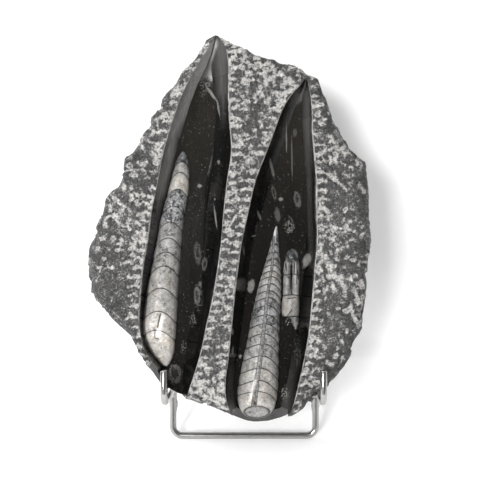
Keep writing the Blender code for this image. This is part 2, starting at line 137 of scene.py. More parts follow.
RIGHT_SHELL = (
    (14.2, 15.7, 15.2, 0.5, 0.0), (5.9, 15.0, 15.2, 2.1, 0.0), (-1.3, 14.3, 15.3, 3.3, 0.0),
    (-8.8, 13.5, 15.4, 4.7, 0.0), (-16.2, 12.6, 15.5, 6.0, 0.0), (-24.2, 11.5, 15.6, 7.1, 0.0),
    (-33.2, 10.3, 15.7, 7.9, 0.0), (-38.4, 9.6, 15.8, 8.4, 0.0), (-43.6, 9.0, 15.8, 8.8, 0.0),
    (-49.3, 8.4, 15.9, 9.2, 0.0), (-55.3, 7.8, 15.9, 9.6, 0.0), (-61.8, 6.9, 16.0, 10.3, 0.0),
    (-68.4, 6.2, 16.1, 10.9, 0.0), (-75.2, 5.4, 16.2, 11.5, 0.0), (-81.8, 4.8, 16.2, 11.9, 0.0),
    (-86.2, 4.4, 15.6, 11.8, 8.0), (-90.4, 4.2, 14.4, 11.1, 22.0), (-93.6, 4.1, 13.0, 9.7, 34.0),
    (-95.4, 4.0, 12.0, 8.1, 41.0),
)
SHELL_ROW, SHELL_SIDES = 0.34, 96

# Joints of the chambers, at the front of the shell, with how far they drop on the left and on the right
LEFT_JOINTS = (51.9, 45.4, 35.5, 25.6, 16.3, 7.0, -1.2, -9.3, -22.1, -35.5, -47.2)
LEFT_DROP = (0.68, 0.74)
# Chambers of the left shell from the tip: how pale, how mottled
LEFT_CHAMBERS = (
    (0.45, 0.9), (0.66, 0.45), (0.84, 0.2), (0.66, 1.0), (0.66, 0.95), (0.62, 0.6),
    (0.62, 0.65), (0.66, 0.6), (0.72, 0.45), (0.78, 0.45), (0.98, 0.4), (1.2, 0.35),
)
RIGHT_JOINTS = (
    3.6, -1.2, -5.2, -8.7, -12.2, -15.6, -19.7, -23.8, -27.8, -32.4, -37.7, -42.9, -48.7, -54.5, -61.4, -68.4,
    -75.3, -81.7,
)
RIGHT_DROP = (0.42, 0.76)
RIGHT_CHAMBERS = (
    (0.6, 0.95), (0.5, 0.85), (0.5, 0.75), (0.55, 0.65), (0.64, 0.5), (0.66, 0.45), (0.66, 0.5),
    (0.66, 0.5), (0.62, 0.6), (0.58, 0.8), (0.56, 0.95), (0.58, 0.85), (0.62, 0.65), (0.64, 0.75),
    (0.68, 0.7), (0.72, 0.55), (0.76, 0.5), (0.8, 0.4), (0.84, 0.35),
)
# Tube through the right shell's chambers: z, x of its middle, width. Its curves start at BAND_LOW.
BAND = (
    (14.0, 14.6, 0.9), (5.8, 13.9, 1.1), (-5.8, 13.3, 1.3), (-17.3, 11.6, 1.5), (-28.9, 9.8, 1.7),
    (-40.5, 8.7, 1.9), (-52.0, 7.2, 2.1), (-63.6, 5.8, 2.4), (-75.1, 4.0, 2.7), (-86.7, 2.6, 2.9),
)
BAND_LOW, BAND_SPAN = -90.0, 110.0

# Stand: radius of the wire, x of its two sides, then where the hooks, the foot and the wires behind them are
WIRE = 2.1
ARM_LEFT, ARM_RIGHT, ARM_Z = -48.6, 41.5, -86.9
HOOK_Y, HOOK_TIP_Z = -3.0, -68.1
LEG_Y, FOOT_Z = 40.0, -117.4
REST_FOOT_Z, REST_TOP_Z = -103.0, 12.0
REAR_TOP_Z, REAR_PARALLEL, REAR_REACH = 0.0, 16.0, 94.3
WELD_GAP, WELD_RADIUS = 0.3, 1.25
FRONT_BEND, BACK_BEND = 6.0, 7.0

# Material slots of the slab, and how fine the slab, its channels and the broken shell are made, in mm
ROUGH, WALL, FLOOR, RIM = range(4)
SLAB_VOXEL, CHANNEL_ROW, BROKEN_VOXEL = 1.3, 1.5, 0.34
WALL_STEPS, FLOOR_STEPS = 12, 14
# Ground edge of a channel: how far it runs out past the rim, and its depth out there and at the wall
BEVEL_OUT, BEVEL_TOP, BEVEL_FOOT = 1.35, -0.8, 0.55
TOOL_TOP = -5.0

# Polished lip below the right channel: x of its middle, half its width, how far its front is raised and its
# back lowered, then the y where its slope starts and how far back it goes
SILL_MIDDLE, SILL_HALF, SILL_RISE, SILL_DROP = 5.5, 20.0, 4.2, 4.6
SILL_START, SILL_REACH = 15.8, 4.4

# Pale lines across the dressed face: x and z of the ends, half width
PALE_LINES = (
    (42.5, 24.5, 46.6, 13.1, 0.9), (46.6, 13.1, 59.6, 10.8, 1.1), (37.6, 47.3, 47.0, 41.5, 0.8),
    (47.0, 41.5, 55.3, 34.2, 0.9), (42.5, -4.9, 47.0, -10.5, 1.7), (46.0, -12.0, 53.9, -21.1, 1.8),
    (-11.4, 58.7, -5.0, 62.5, 0.7), (-5.0, 62.5, 3.4, 64.4, 0.6), (-12.0, 13.1, -8.0, 19.5, 0.7),
    (-8.0, 19.5, -4.6, 22.8, 0.6), (-34.2, -74.7, -25.0, -79.5, 1.6), (-25.0, -79.5, -16.0, -86.0, 1.9),
    (-30.0, -80.5, -18.0, -88.0, 1.4), (9.0, 96.0, 17.0, 101.5, 1.4), (18.5, 88.0, 26.5, 93.5, 1.3),
    (16.0, 82.0, 21.0, 89.0, 1.2), (3.0, 103.5, 10.0, 106.5, 1.2), (57.0, -33.0, 61.0, -41.0, 1.6),
    (59.0, -22.0, 62.5, -30.5, 1.4), (-84.0, 16.0, -80.0, 19.5, 0.7), (-72.0, 45.0, -64.0, 45.8, 0.7),
)
# Chisel marks: seed, distance between the teeth of a comb and between pecks, the area that they cover, and
# the y behind which the slab has none
CHISEL_SEED, COMB_STEP, PECK_STEP = 11, 4.9, 4.2
PECKED_X, PECKED_Z, PECKED_BACK = (-98.0, 74.0), (-102.0, 126.0), 9.0
# Chips of the broken edge: seed, size, steepness
CHIP_SEED, CHIP_SIZE, CHIP_SLANT = 5, 8.0, 0.22
# Where the face is more or less covered with pale marks: x, z, reach, amount
COVER = (
    (8.5, 93.0, 19.0, 0.3), (-25.0, -79.0, 14.0, 0.35), (-9.0, 0.0, 26.0, -0.12), (-76.0, -30.0, 19.0, -0.3),
    (62.0, 28.0, 15.0, -0.3), (48.0, -12.0, 14.0, 0.22), (-58.0, 24.0, 16.0, 0.18), (-64.0, 0.0, 14.0, 0.15),
    (60.0, -52.0, 15.0, -0.22), (-70.0, 50.0, 12.0, -0.12), (60.0, -20.0, 8.0, 0.25),
)


# Numbers and curves

def blend_step(value, low, high):
    """0 below low, 1 above high, with a soft turn at both."""
    share = np.clip((value - low) / (high - low), 0.0, 1.0)
    return share * share * (3.0 - 2.0 * share)


def smooth_rows(stations, spacing):
    """Rows at an even spacing down the first column, on smooth curves through the stations."""
    table = np.array(stations, dtype=float)
    down = table[0, 0] - table[:, 0]
    slopes = np.gradient(table, down, axis=0)
    at = np.linspace(0.0, down[-1], int(down[-1] / spacing) + 2)
    first = np.clip(np.searchsorted(down, at, side="right") - 1, 0, len(down) - 2)
    span = (down[first + 1] - down[first])[:, None]
    share = (at - down[first])[:, None] / span
    start, end = table[first], table[first + 1]
    leave, arrive = slopes[first] * span, slopes[first + 1] * span
    return (
        start * (2 * share**3 - 3 * share**2 + 1)
        + leave * (share**3 - 2 * share**2 + share)
        + end * (3 * share**2 - 2 * share**3)
        + arrive * (share**3 - share**2)
    )


def uneven(x, z, scale, offset):
    return noise.noise(Vector((x / scale + offset, z / scale - offset, offset)))


def roughness_at(points, scale, offset, octaves=3):
    """Soft random height at each point, about -1 to 1."""
    heights = np.empty(len(points))
    for i, (x, y, z) in enumerate(points):
        where = Vector((x / scale + offset, y / scale, z / scale - offset))
        heights[i] = noise.fractal(where, 0.8, 2.1, octaves)
    return heights


def beside_segment(x, z, ax, az, bx, bz):
    """Distance in x and z from each point to a straight line with two ends."""
    across, up = bx - ax, bz - az
    share = ((x - ax) * across + (z - az) * up) / max(across**2 + up**2, 1e-9)
    share = np.clip(share, 0.0, 1.0)
    return np.hypot(x - ax - share * across, z - az - share * up)


def distance_to_line(points, line):
    """Distance in x and z from each point to a polyline."""
    nearest = np.full(len(points), 1e9)
    for start, end in zip(line, line[1:]):
        nearest = np.minimum(nearest, beside_segment(points[:, 0], points[:, 1], *start, *end))
    return nearest


def bend(points, radius, steps=12):
    """Polyline with each inner corner rounded to the given radius."""
    points = [Vector(point) for point in points]
    path = [points[0]]
    for before, corner, after in zip(points, points[1:], points[2:]):
        arm_in = (before - corner).normalized()
        arm_out = (after - corner).normalized()
        half = arm_in.angle(arm_out) / 2.0
        reach = radius / math.tan(half)
        centre = corner + (arm_in + arm_out).normalized() * (radius / math.sin(half))
        start = corner + arm_in * reach - centre
        turn = math.pi - 2.0 * half
        axis = start.cross(corner + arm_out * reach - centre).normalized()
        for i in range(steps + 1):
            path.append(centre + Matrix.Rotation(turn * i / steps, 3, axis) @ start)
    path.append(points[-1])
    return path


# Meshes

@contextmanager
def opened(mesh):
    """The mesh as a bmesh to work on, written back at the end."""
    shape = bmesh.new()
    shape.from_mesh(mesh)
    yield shape
    shape.to_mesh(mesh)
    shape.free()
    mesh.update()


def vertex_places(mesh):
    places = np.empty(len(mesh.vertices) * 3)
    mesh.vertices.foreach_get("co", places)
    return places.reshape(-1, 3) / MM


def vertex_normals(mesh):
    normals = np.empty(len(mesh.vertices) * 3)
    mesh.vertex_normals.foreach_get("vector", normals)
    return normals.reshape(-1, 3)


def move_vertices(mesh, places):
    mesh.vertices.foreach_set("co", (places * MM).ravel())
    mesh.update()


def add_value(mesh, name, values):
    """Stores one number per vertex, for the material to read."""
    stored = mesh.attributes.new(name, "FLOAT", "POINT")
    stored.data.foreach_set("value", np.asarray(values, dtype=np.float32))


def object_of(name, mesh, looks):
    for look in looks:
        mesh.materials.append(look)
    obj = bpy.data.objects.new(name, mesh)
    bpy.context.scene.collection.objects.link(obj)
    return obj


def put_on_stand(obj):
    """Leans a piece back with the slab and lifts it onto the table, in its mesh as in the CAD nodes."""
    shift = Matrix.Translation(Vector(SHIFT) * MM)
    obj.data.transform(shift @ Matrix.Rotation(-LEAN, 4, "X"))
    obj.data.update()


def loft_mesh(name, rings, slots=None, centred=True):
    """Closed body through rings of points, with a material slot for each column of faces."""
    count = len(rings[0])
    places = [tuple(point) for ring in rings for point in ring]
    faces = []
    marks = []
    for row in range(len(rings) - 1):
        for i in range(count):
            j = (i + 1) % count
            near, far = row * count, (row + 1) * count
            faces.append((near + i, near + j, far + j, far + i))
            marks.append(slots[i] if slots else 0)
    for row in (0, len(rings) - 1):
        ring = range(row * count, (row + 1) * count)
        if centred:
            places.append(tuple(np.mean([places[i] for i in ring], axis=0)))
            faces += [(i, ring[(k + 1) % count], len(places) - 1) for k, i in enumerate(ring)]
            marks += [0] * count
        else:
            faces.append(tuple(ring))
            marks.append(0)
    mesh = bpy.data.meshes.new(name)
    mesh.from_pydata([tuple(value * MM for value in place) for place in places], [], faces)
    mesh.polygons.foreach_set("material_index", marks)
    with opened(mesh) as shape:
        bmesh.ops.recalc_face_normals(shape, faces=shape.faces)
    return mesh


def joined(name, meshes):
    whole = bmesh.new()
    for mesh in meshes:
        whole.from_mesh(mesh)
    made = bpy.data.meshes.new(name)
    whole.to_mesh(made)
    whole.free()
    return made


def settled(obj):
    """The object's mesh with its modifiers carried out."""
    graph = bpy.context.evaluated_depsgraph_get()
    made = bpy.data.meshes.new_from_object(obj.evaluated_get(graph))
    obj.modifiers.clear()
    return made


def remeshed(mesh, voxel):
    obj = bpy.data.objects.new("remesh", mesh)
    bpy.context.scene.collection.objects.link(obj)
    modifier = obj.modifiers.new("remesh", "REMESH")
    modifier.mode = "VOXEL"
    modifier.voxel_size = voxel * MM
    made = settled(obj)
    bpy.data.objects.remove(obj)
    return made


def soften(mesh, angle):
    """Smooth shading, but sharp at edges steeper than the angle and where two materials meet."""
    mesh.shade_smooth()
    mesh.set_sharp_from_angle(angle=math.radians(angle))
    with opened(mesh) as shape:
        for edge in shape.edges:
            if len({face.material_index for face in edge.link_faces}) > 1:
                edge.smooth = False


# The slab

def toward_centre(x, z, distance):
    across, up = SLAB_CENTRE[0] - x, SLAB_CENTRE[1] - z
    length = math.hypot(across, up)
    return x + across * distance / length, z + up * distance / length


def face_depth(x, z):
    return 0.55 * uneven(x, z, 21.0, 3.1) + 0.3 * uneven(x, z, 6.5, 8.7)


def heel(x, z):
    away = math.hypot(x - HEEL_AT[0], z - HEEL_AT[1])
    return HEEL_OUT * math.exp(-((away / HEEL_REACH) ** 2))


def shrunk(edge, share):
    """The edge drawn in to the given share of its distance from the slab's centre."""
    middle_x, middle_z = SLAB_CENTRE
    return [(middle_x + (x - middle_x) * share, middle_z + (z - middle_z) * share) for x, z in edge]


def slab_rings():
    edge = [toward_centre(x, z, stop) for x, z, stop in SLAB_EDGE]
    rings = [[(x, face_depth(x, z), z) for x, z in shrunk(edge, share)] for share in FACE_SHARES]
    for left, depth in CHAMFER:
        ring = []
        for x, z, stop in SLAB_EDGE:
            rough = 0.35 * left * stop * uneven(x, z, 7.0, depth)
            across, up = toward_centre(x, z, stop * left + rough)
            ring.append((across, depth + 0.12 * stop * uneven(x, z, 9.0, 5.0 + depth), up))
        rings.append(ring)
    for inward, depth, share in FLANK:
        ring = []
        for x, z, _ in SLAB_EDGE:
            rough = 1.3 * uneven(x, z, 8.0, 11.0 + depth)
            across, up = toward_centre(x, z, inward + rough - share * heel(x, z))
            ring.append((across, depth, up))
        rings.append(ring)
    back = [toward_centre(x, z, BACK_STOP) for x, z, _ in SLAB_EDGE]
    for share in BACK_SHARES:
        rings.append([(x, SLAB_BACK, z) for x, z in shrunk(back, share)])
    return rings


def channel_wall(rim, floor, foot, depth, z):
    """Points of a curved wall, from the rim down to the floor."""
    points = []
    for share in np.arange(WALL_STEPS) / WALL_STEPS:
        across = 0.6 * share + 0.4 * share**2
        down = 1.2 * share - 0.2 * share**2
        points.append((rim + (floor - rim) * across, foot + (depth - foot) * down, z))
    return points


def channel_mesh(name, stations):
    """Tool that cuts a channel: an open front, a bevelled rim, curved walls and a slightly dished floor."""
    rings = []
    for z, rim_left, rim_right, floor_left, floor_right, depth in smooth_rows(stations, CHANNEL_ROW):
        floor_left = max(floor_left, rim_left + 0.2)
        floor_right = min(max(floor_right, floor_left + 0.3), rim_right - 0.2)
        depth = max(depth, 1.6)
        foot = min(BEVEL_FOOT, 0.3 * depth)
        out_left, out_right = rim_left - BEVEL_OUT, rim_right + BEVEL_OUT
        ring = [(out_left, TOOL_TOP, z), (out_left, BEVEL_TOP, z)]
        ring += channel_wall(rim_left, floor_left, foot, depth, z)
        for share in np.arange(FLOOR_STEPS + 1) / FLOOR_STEPS:
            dish = 0.012 * depth * math.sin(math.pi * share)
            ring.append((floor_left + (floor_right - floor_left) * share, 0.98 * depth + dish, z))
        ring += reversed(channel_wall(rim_right, floor_right, foot, depth, z))
        ring += [(out_right, BEVEL_TOP, z), (out_right, TOOL_TOP, z)]
        rings.append(ring)
    wall = [WALL] * WALL_STEPS
    slots = [ROUGH, RIM, *wall, *[FLOOR] * FLOOR_STEPS, *wall, RIM, ROUGH, ROUGH]
    return loft_mesh(name, rings, slots, centred=False)


def rim_lines():
    """Left and right rim of both channels, as polylines of x and z."""
    lines = []
    for stations in (LEFT_CHANNEL, RIGHT_CHANNEL):
        rows = smooth_rows(stations, 1.0)
        lines += [[(row[side], row[0]) for row in rows] for side in (1, 2)]
    return lines


def chips(points, cell, slant, seed):
    """Height of a surface broken into flat facets: the lowest of the slanted planes nearest to each point."""
    chance = random.Random(seed)
    low, high = points.min(axis=0) - cell, points.max(axis=0) + cell
    count = int(np.prod(high - low) / cell**3)
    tree = kdtree.KDTree(count)
    planes = []
    for i in range(count):
        centre = Vector([chance.uniform(low[k], high[k]) for k in range(3)])
        tilt = Vector([chance.gauss(0.0, slant) for _ in range(3)])
        planes.append((centre, tilt, chance.uniform(0.0, 0.1 * cell)))
        tree.insert(centre, i)
    tree.balance()
    heights = np.empty(len(points))
    for i, point in enumerate(points):
        point = Vector(point)
        nearest = [planes[k] for _, k, _ in tree.find_n(point, 5)]
        heights[i] = min(height + tilt.dot(point - centre) for centre, tilt, height in nearest)
    return heights


def cover_at(x, z):
    amount = 0.53 + 0.4 * uneven(x, z, 14.0, 21.0)
    for across, up, reach, more in COVER:
        amount += more * math.exp(-((x - across) ** 2 + (z - up) ** 2) / reach**2)
    return amount


def chisel_marks():
    """Marks of the chisel on the front face: x and z of both ends, half width, strength."""
    chance = random.Random(CHISEL_SEED)
    marks = [(*line[:4], 0.8 * line[4], 1.0) for line in PALE_LINES]

    # Rows of short strokes that run out from the rims like the teeth of a comb
    for number, line in enumerate(rim_lines()):
        outward = -1.0 if number % 2 == 0 else 1.0
        travelled = 0.0
        for (ax, az), (bx, bz) in zip(line, line[1:]):
            travelled += math.hypot(bx - ax, bz - az)
            if travelled < COMB_STEP:
                continue
            travelled = chance.uniform(-0.4, 0.4)
            if chance.random() > 0.7 + 0.4 * cover_at(bx, bz):
                continue
            x = bx + outward * chance.uniform(1.0, 1.9)
            z = bz + chance.uniform(-0.4, 0.4)
            reach = chance.uniform(2.4, 6.4)
            rise = chance.uniform(-0.2, 1.1)
            width = chance.uniform(0.7, 1.15)
            strength = chance.uniform(0.9, 1.2)
            middle = (x + outward * reach * 0.45, z + rise)
            marks.append((x, z, *middle, width, strength))
            end = (x + outward * reach, z + chance.uniform(-0.6, 0.6))
            marks.append((*middle, *end, 0.8 * width, 0.85 * strength))

    # Crumbled pecks everywhere, bent round so that some close into small rings
    places = [(x, z) for x in np.arange(*PECKED_X, PECK_STEP) for z in np.arange(*PECKED_Z, PECK_STEP)]
    for x, z in places:
        x += chance.uniform(-0.5, 0.5) * PECK_STEP
        z += chance.uniform(-0.5, 0.5) * PECK_STEP
        strength = cover_at(x, z) + chance.uniform(-0.3, 0.3)
        heading = chance.uniform(0.0, 2.0 * math.pi)
        turn = chance.choice((-1.0, 1.0)) * chance.uniform(0.3, 1.3)
        pieces = chance.choice((1, 1, 2, 2, 3, 4))
        width = chance.uniform(0.5, 1.25)
        stride = chance.uniform(0.7, 1.9)
        hollow = chance.random() < 0.3
        if strength < 0.45:
            continue
        if hollow:
            marks.append((x, z, x + 0.3 * stride, z + 0.2 * turn, max(width, 0.9), 1.35))
            continue
        for _ in range(pieces):
            end = (x + stride * math.cos(heading), z + stride * math.sin(heading))
            marks.append((x, z, *end, width, min(strength + 0.25, 1.1)))
            x, z = end
            heading += turn
    return marks


def marked(places, marks):
    """How strongly the chisel has marked each point, from 0 to about 1, with crumbled outlines."""
    points = places[:, [0, 2]].copy()
    points[:, 0] += 0.75 * roughness_at(places, 1.7, 31.0, 2)
    points[:, 1] += 0.75 * roughness_at(places, 1.7, 47.0, 2)
    order = np.argsort(points[:, 1])
    x, z = points[order, 0], points[order, 1]
    found = np.zeros(len(points))
    for ax, az, bx, bz, width, strength in marks:
        reach = 2.2 * width
        low = np.searchsorted(z, min(az, bz) - reach)
        high = np.searchsorted(z, max(az, bz) + reach)
        apart = beside_segment(x[low:high], z[low:high], ax, az, bx, bz)
        value = strength * (1.0 - blend_step(apart, 0.1 * width, reach))
        found[low:high] = np.maximum(found[low:high], value)
    result = np.empty(len(points))
    result[order] = found
    return result


def finer_front(mesh):
    """Splits the faces of the dressed face once more, so that the chisel marks have a shape."""
    with opened(mesh) as shape:
        front = [face for face in shape.faces if face.normal.y < -0.55]
        front = [face for face in front if face.calc_center_median().y < 7.0 * MM]
        edges = {edge for face in front for edge in face.edges}
        bmesh.ops.subdivide_edges(shape, edges=list(edges), cuts=1, use_grid_fill=True)
        bmesh.ops.triangulate(shape, faces=[face for face in shape.faces if len(face.verts) > 4])


def mouth_share(places):
    """1 on the flank where a channel runs out of the slab, 0 away from it."""
    x, y, z = places.T
    right = blend_step(x, -13.0, -8.0) * blend_step(-x, -25.0, -20.0) * blend_step(-z, 88.0, 93.0)
    left = blend_step(x, -60.0, -54.0) * blend_step(-x, 34.0, 40.0) * blend_step(-z, 60.0, 66.0)
    return np.maximum(left, right) * blend_step(-y, -27.0, -23.0)


def sill_shift(places):
    """How far each point moves up for the lip below the right channel: up in front, down behind."""
    x, y, z = places.T
    across = np.abs(x - SILL_MIDDLE) / SILL_HALF
    bow = np.clip(1.0 - across**2, 0.0, 1.0) ** 0.5
    slope = np.clip((y - SILL_START) / SILL_REACH, 0.0, 1.0)
    shift = SILL_RISE * (1.0 - slope) - SILL_DROP * (0.4 + 0.6 * bow) * slope
    shift *= (1.0 - blend_step(across, 0.84, 1.0)) * blend_step(-z, 86.0, 95.0)
    return shift * blend_step(-y, -36.0, -24.0) * blend_step(y, 2.0, 9.0)


def slab(looks):
    """The block: dressed face, broken edge and sawn back, then the two channels cut out of it."""
    marks = chisel_marks()
    lines = rim_lines()
    mesh = remeshed(loft_mesh("slab", slab_rings()), SLAB_VOXEL)
    finer_front(mesh)

    places, normals = vertex_places(mesh), vertex_normals(mesh)
    flat = places[:, [0, 2]]
    to_rim = np.min([distance_to_line(flat, line) for line in lines], axis=0)
    front = blend_step(-normals[:, 1], 0.45, 0.85) * (places[:, 1] < PECKED_BACK)
    back = blend_step(normals[:, 1], 0.5, 0.9)
    side = 1.0 - front - back
    quiet = blend_step(to_rim, 0.8, 4.0)
    sill = mouth_share(places)
    broken = chips(places, CHIP_SIZE, CHIP_SLANT, CHIP_SEED)
    broken -= np.median(broken[side > 0.5])
    coarse = roughness_at(places, 6.0, 2.0)
    fine = roughness_at(places, 2.3, 7.0)
    pits = marked(places, marks)
    face_lift = quiet * (0.22 * coarse + 0.14 * fine - 0.42 * pits + 0.1)
    side_lift = np.clip(0.55 * broken, -1.1, 0.5) + 0.35 * coarse + 0.18 * fine
    back_lift = 0.05 * coarse + 0.03 * fine
    lift = front * face_lift + side * side_lift * (1.0 - sill) + back * back_lift
    places += normals * lift[:, None]
    places[:, 2] += sill_shift(places)
    move_vertices(mesh, places)

    obj = object_of("slab_of_limestone", mesh, looks)
    for name, stations in (("channel left", LEFT_CHANNEL), ("channel right", RIGHT_CHANNEL)):
        tool = object_of(name, channel_mesh(name, stations), looks)
        modifier = obj.modifiers.new(name, "BOOLEAN")
        modifier.operation = "DIFFERENCE"
        modifier.solver = "EXACT"
        modifier.object = tool
        mesh = settled(obj)
        obj.data = mesh
        bpy.data.objects.remove(tool)

    places = vertex_places(mesh)
    add_value(mesh, "peck", marked(places, marks) * (places[:, 1] < PECKED_BACK))
    edge = [(x, z) for x, z, _ in SLAB_EDGE]
    add_value(mesh, "edge", distance_to_line(places[:, [0, 2]], edge + edge[:1]))
    add_value(mesh, "sill", mouth_share(places))
    soften(mesh, 38.0)
    return obj


# The shells

def shell(name, stations, joints, drops, chambers, look, relief=None, end_rings=0):
    """Chambered shell: a smooth cone whose chambers swell a little between the grooves of their joints."""
    phi = np.linspace(-math.pi, math.pi, SHELL_SIDES, endpoint=False)
    side = np.where(np.abs(phi) < math.pi / 2, np.sin(phi), np.sign(phi))
    chambers = np.array(chambers)
    places, rings = [], []
    for z, x, y, radius, tip in smooth_rows(stations, SHELL_ROW):
        tip = math.radians(tip)
        level = z + np.where(side < 0.0, drops[0], drops[1]) * radius * side**2
        level = level[:, None] - np.array(joints)[None, :]
        nearest = np.abs(level).min(axis=1)
        number = np.clip((level < 0.0).sum(axis=1), 0, len(chambers) - 1)
        swell = 0.2 * blend_step(nearest, 0.0, 3.0) - 0.14 * np.exp(-((nearest / 0.3) ** 2)) - 0.1
        out = max(radius, 0.3) + swell * min(1.0, radius / 4.0)
        if relief:
            out = out + relief(z, x + out * np.sin(phi), phi)
        depth = -out * np.cos(phi)
        ring = (x + out * np.sin(phi), y + depth * math.cos(tip), z - depth * math.sin(tip))
        places.append(np.stack(ring, axis=1))
        rings.append((nearest, *chambers[number].T, np.zeros(SHELL_SIDES)))
    last = places[-1]
    centre = last.mean(axis=0)
    for i in range(end_rings):
        share = 1.0 - (i + 1) / (end_rings + 1)
        places.append(centre + (last - centre) * share)
        rings.append([np.full(SHELL_SIDES, value) for value in (3.0, 0.62, 0.7, 1.0 - share)])
    mesh = loft_mesh(name, places)
    caps = (("joint", 3.0, 3.0), ("pale", 0.6, 0.6), ("mottle", 0.5, 0.5), ("end", 0.0, 1.0))
    for (label, *middles), values in zip(caps, zip(*rings)):
        add_value(mesh, label, np.concatenate([*values, middles]))
    soften(mesh, 50.0)
    return object_of(name, mesh, [look])


def left_relief(z, x, phi):
    """The slit that the polish has opened along the tube of the left shell, and a short one higher up."""
    low = beside_segment(x, z, -50.6, -37.0, -54.3, -51.0)
    high = beside_segment(x, z, -45.6, 31.0, -45.9, 16.4)
    cut = -0.3 * np.exp(-((low / 0.8) ** 2)) - 0.12 * np.exp(-((high / 0.4) ** 2))
    return np.where(np.abs(phi) < math.pi / 2, cut, 0.0)


def right_relief(z, x, phi):
    """Grooves on both sides of the tube that runs down the right shell."""
    at, middles, widths = np.array(BAND)[::-1].T
    beside = np.abs(np.abs(x - np.interp(z, at, middles)) - np.interp(z, at, widths) / 2.0)
    return np.where(np.abs(phi) < math.pi / 2, -0.12 * np.exp(-((beside / 0.25) ** 2)), 0.0)


def blob(rows, sides=28):
    """Rings of a rounded body, from rows of z, x, y, half width and half depth."""
    turns = [2.0 * math.pi * i / sides for i in range(sides)]
    rings = []
    for z, x, y, wide, deep in smooth_rows(rows, 0.5):
        wide, deep = max(wide, 0.15), max(deep, 0.15)
        rings.append([(x + wide * math.sin(turn), y - deep * math.cos(turn), z) for turn in turns])
    return rings


# Bodies of the broken shell: rows of z, x, y, half width, half depth
BROKEN_BODIES = (
    ((0.9, 25.4, 15.2, 0.4, 0.4), (-0.6, 25.3, 15.2, 2.6, 2.2), (-3.0, 25.2, 15.2, 3.7, 3.0),
     (-6.0, 25.0, 15.3, 4.1, 3.2), (-8.6, 24.9, 15.3, 3.9, 2.6)),
    ((-4.0, 22.6, 15.2, 1.2, 2.0), (-8.0, 22.3, 15.2, 1.9, 3.4), (-16.0, 22.0, 15.3, 2.1, 3.7),
     (-22.0, 21.9, 15.4, 2.2, 3.9), (-28.5, 21.8, 15.5, 2.3, 4.2)),
    ((-4.0, 27.4, 15.2, 1.2, 2.0), (-8.0, 27.3, 15.2, 2.0, 3.4), (-16.0, 27.3, 15.3, 2.2, 3.7),
     (-22.0, 27.1, 15.4, 2.3, 3.9), (-28.5, 26.9, 15.5, 2.4, 4.2)),
    ((-19.0, 24.6, 17.0, 1.6, 2.0), (-23.0, 24.5, 16.4, 3.4, 3.0), (-27.2, 24.4, 15.6, 4.7, 4.5),
     (-30.0, 24.3, 15.6, 5.1, 5.1), (-34.0, 24.1, 15.7, 5.3, 5.3), (-37.6, 24.0, 15.7, 5.2, 5.0),
     (-39.6, 24.2, 15.8, 4.6, 4.2)),
    ((-38.6, 26.2, 15.6, 2.6, 3.6), (-41.5, 26.6, 15.7, 2.3, 3.0), (-44.5, 27.0, 15.8, 1.5, 2.0),
     (-47.2, 27.2, 15.9, 0.5, 0.8)),
)
BROKEN_JOINTS = (-14.2, -26.3, -39.0)


def fragment(look):
    """Broken shell: a speckled cap, two rods with a slot between them, one whole chamber and a sliver."""
    bodies = [loft_mesh("body", blob(rows)) for rows in BROKEN_BODIES]
    mesh = remeshed(joined("fragment", bodies), BROKEN_VOXEL)
    places, normals = vertex_places(mesh), vertex_normals(mesh)
    level = places[:, 2] + 0.035 * (places[:, 0] - 24.3) ** 2
    crumbled = blend_step(places[:, 2], -9.0, -5.0) + blend_step(-places[:, 2], 38.6, 40.0)
    nearest = np.abs(level[:, None] - np.array(BROKEN_JOINTS)[None, :]).min(axis=1)
    whole = blend_step(-places[:, 2], 25.0, 28.0)
    lift = (0.05 + 0.28 * crumbled) * roughness_at(places, 1.7, 4.0) - 0.15 * np.exp(-((nearest / 0.35) ** 2))
    move_vertices(mesh, places + normals * lift[:, None])
    add_value(mesh, "joint", nearest)
    add_value(mesh, "pale", 0.54 + 0.06 * whole - 0.16 * crumbled)
    add_value(mesh, "mottle", 0.45 + 0.5 * crumbled - 0.3 * whole)
    add_value(mesh, "end", np.zeros(len(places)))
    soften(mesh, 60.0)
    return object_of("shell_fragment", mesh, [look])


# The stand

def tube_rings(path, radius, sides=24):
    """Round rings along a path, with the edges of both ends broken a little."""
    path = [Vector(point) for point in path]
    heads = [(after - before).normalized() for before, after in zip(path, path[1:])]
    ahead = [heads[0]]
    ahead += [(one + other).normalized() for one, other in zip(heads, heads[1:])]
    ahead.append(heads[-1])
    side = ahead[0].orthogonal().normalized()
    rings = []
    for number, (point, head) in enumerate(zip(path, ahead)):
        side = (side - head * side.dot(head)).normalized()
        up = head.cross(side)
        sizes = [(0.0, radius)]
        if number == 0:
            sizes = [(0.0, radius - 0.45), (0.12, radius - 0.16), (0.4, radius)]
        if number == len(path) - 1:
            sizes = [(-0.4, radius), (-0.12, radius - 0.16), (0.0, radius - 0.45)]
        for along, size in sizes:
            ring = []
            for i in range(sides):
                turn = 2.0 * math.pi * i / sides
                ring.append(point + head * along + (side * math.cos(turn) + up * math.sin(turn)) * size)
            rings.append(ring)
    return rings


def weld_rings(start, end, radius):
    """Bead of weld metal between two wires, thick in the middle."""
    start, end = Vector(start), Vector(end)
    path = [start.lerp(end, i / 10) for i in range(11)]
    rings = []
    for i, point in enumerate(path):
        size = radius * math.sqrt(max(1.0 - (i / 5.0 - 1.0) ** 2, 0.02))
        size *= 1.0 + 0.12 * math.sin(i * 2.1)
        rings.append(tube_rings([point, point + (end - start) * 0.01], size, 14)[2])
    return rings


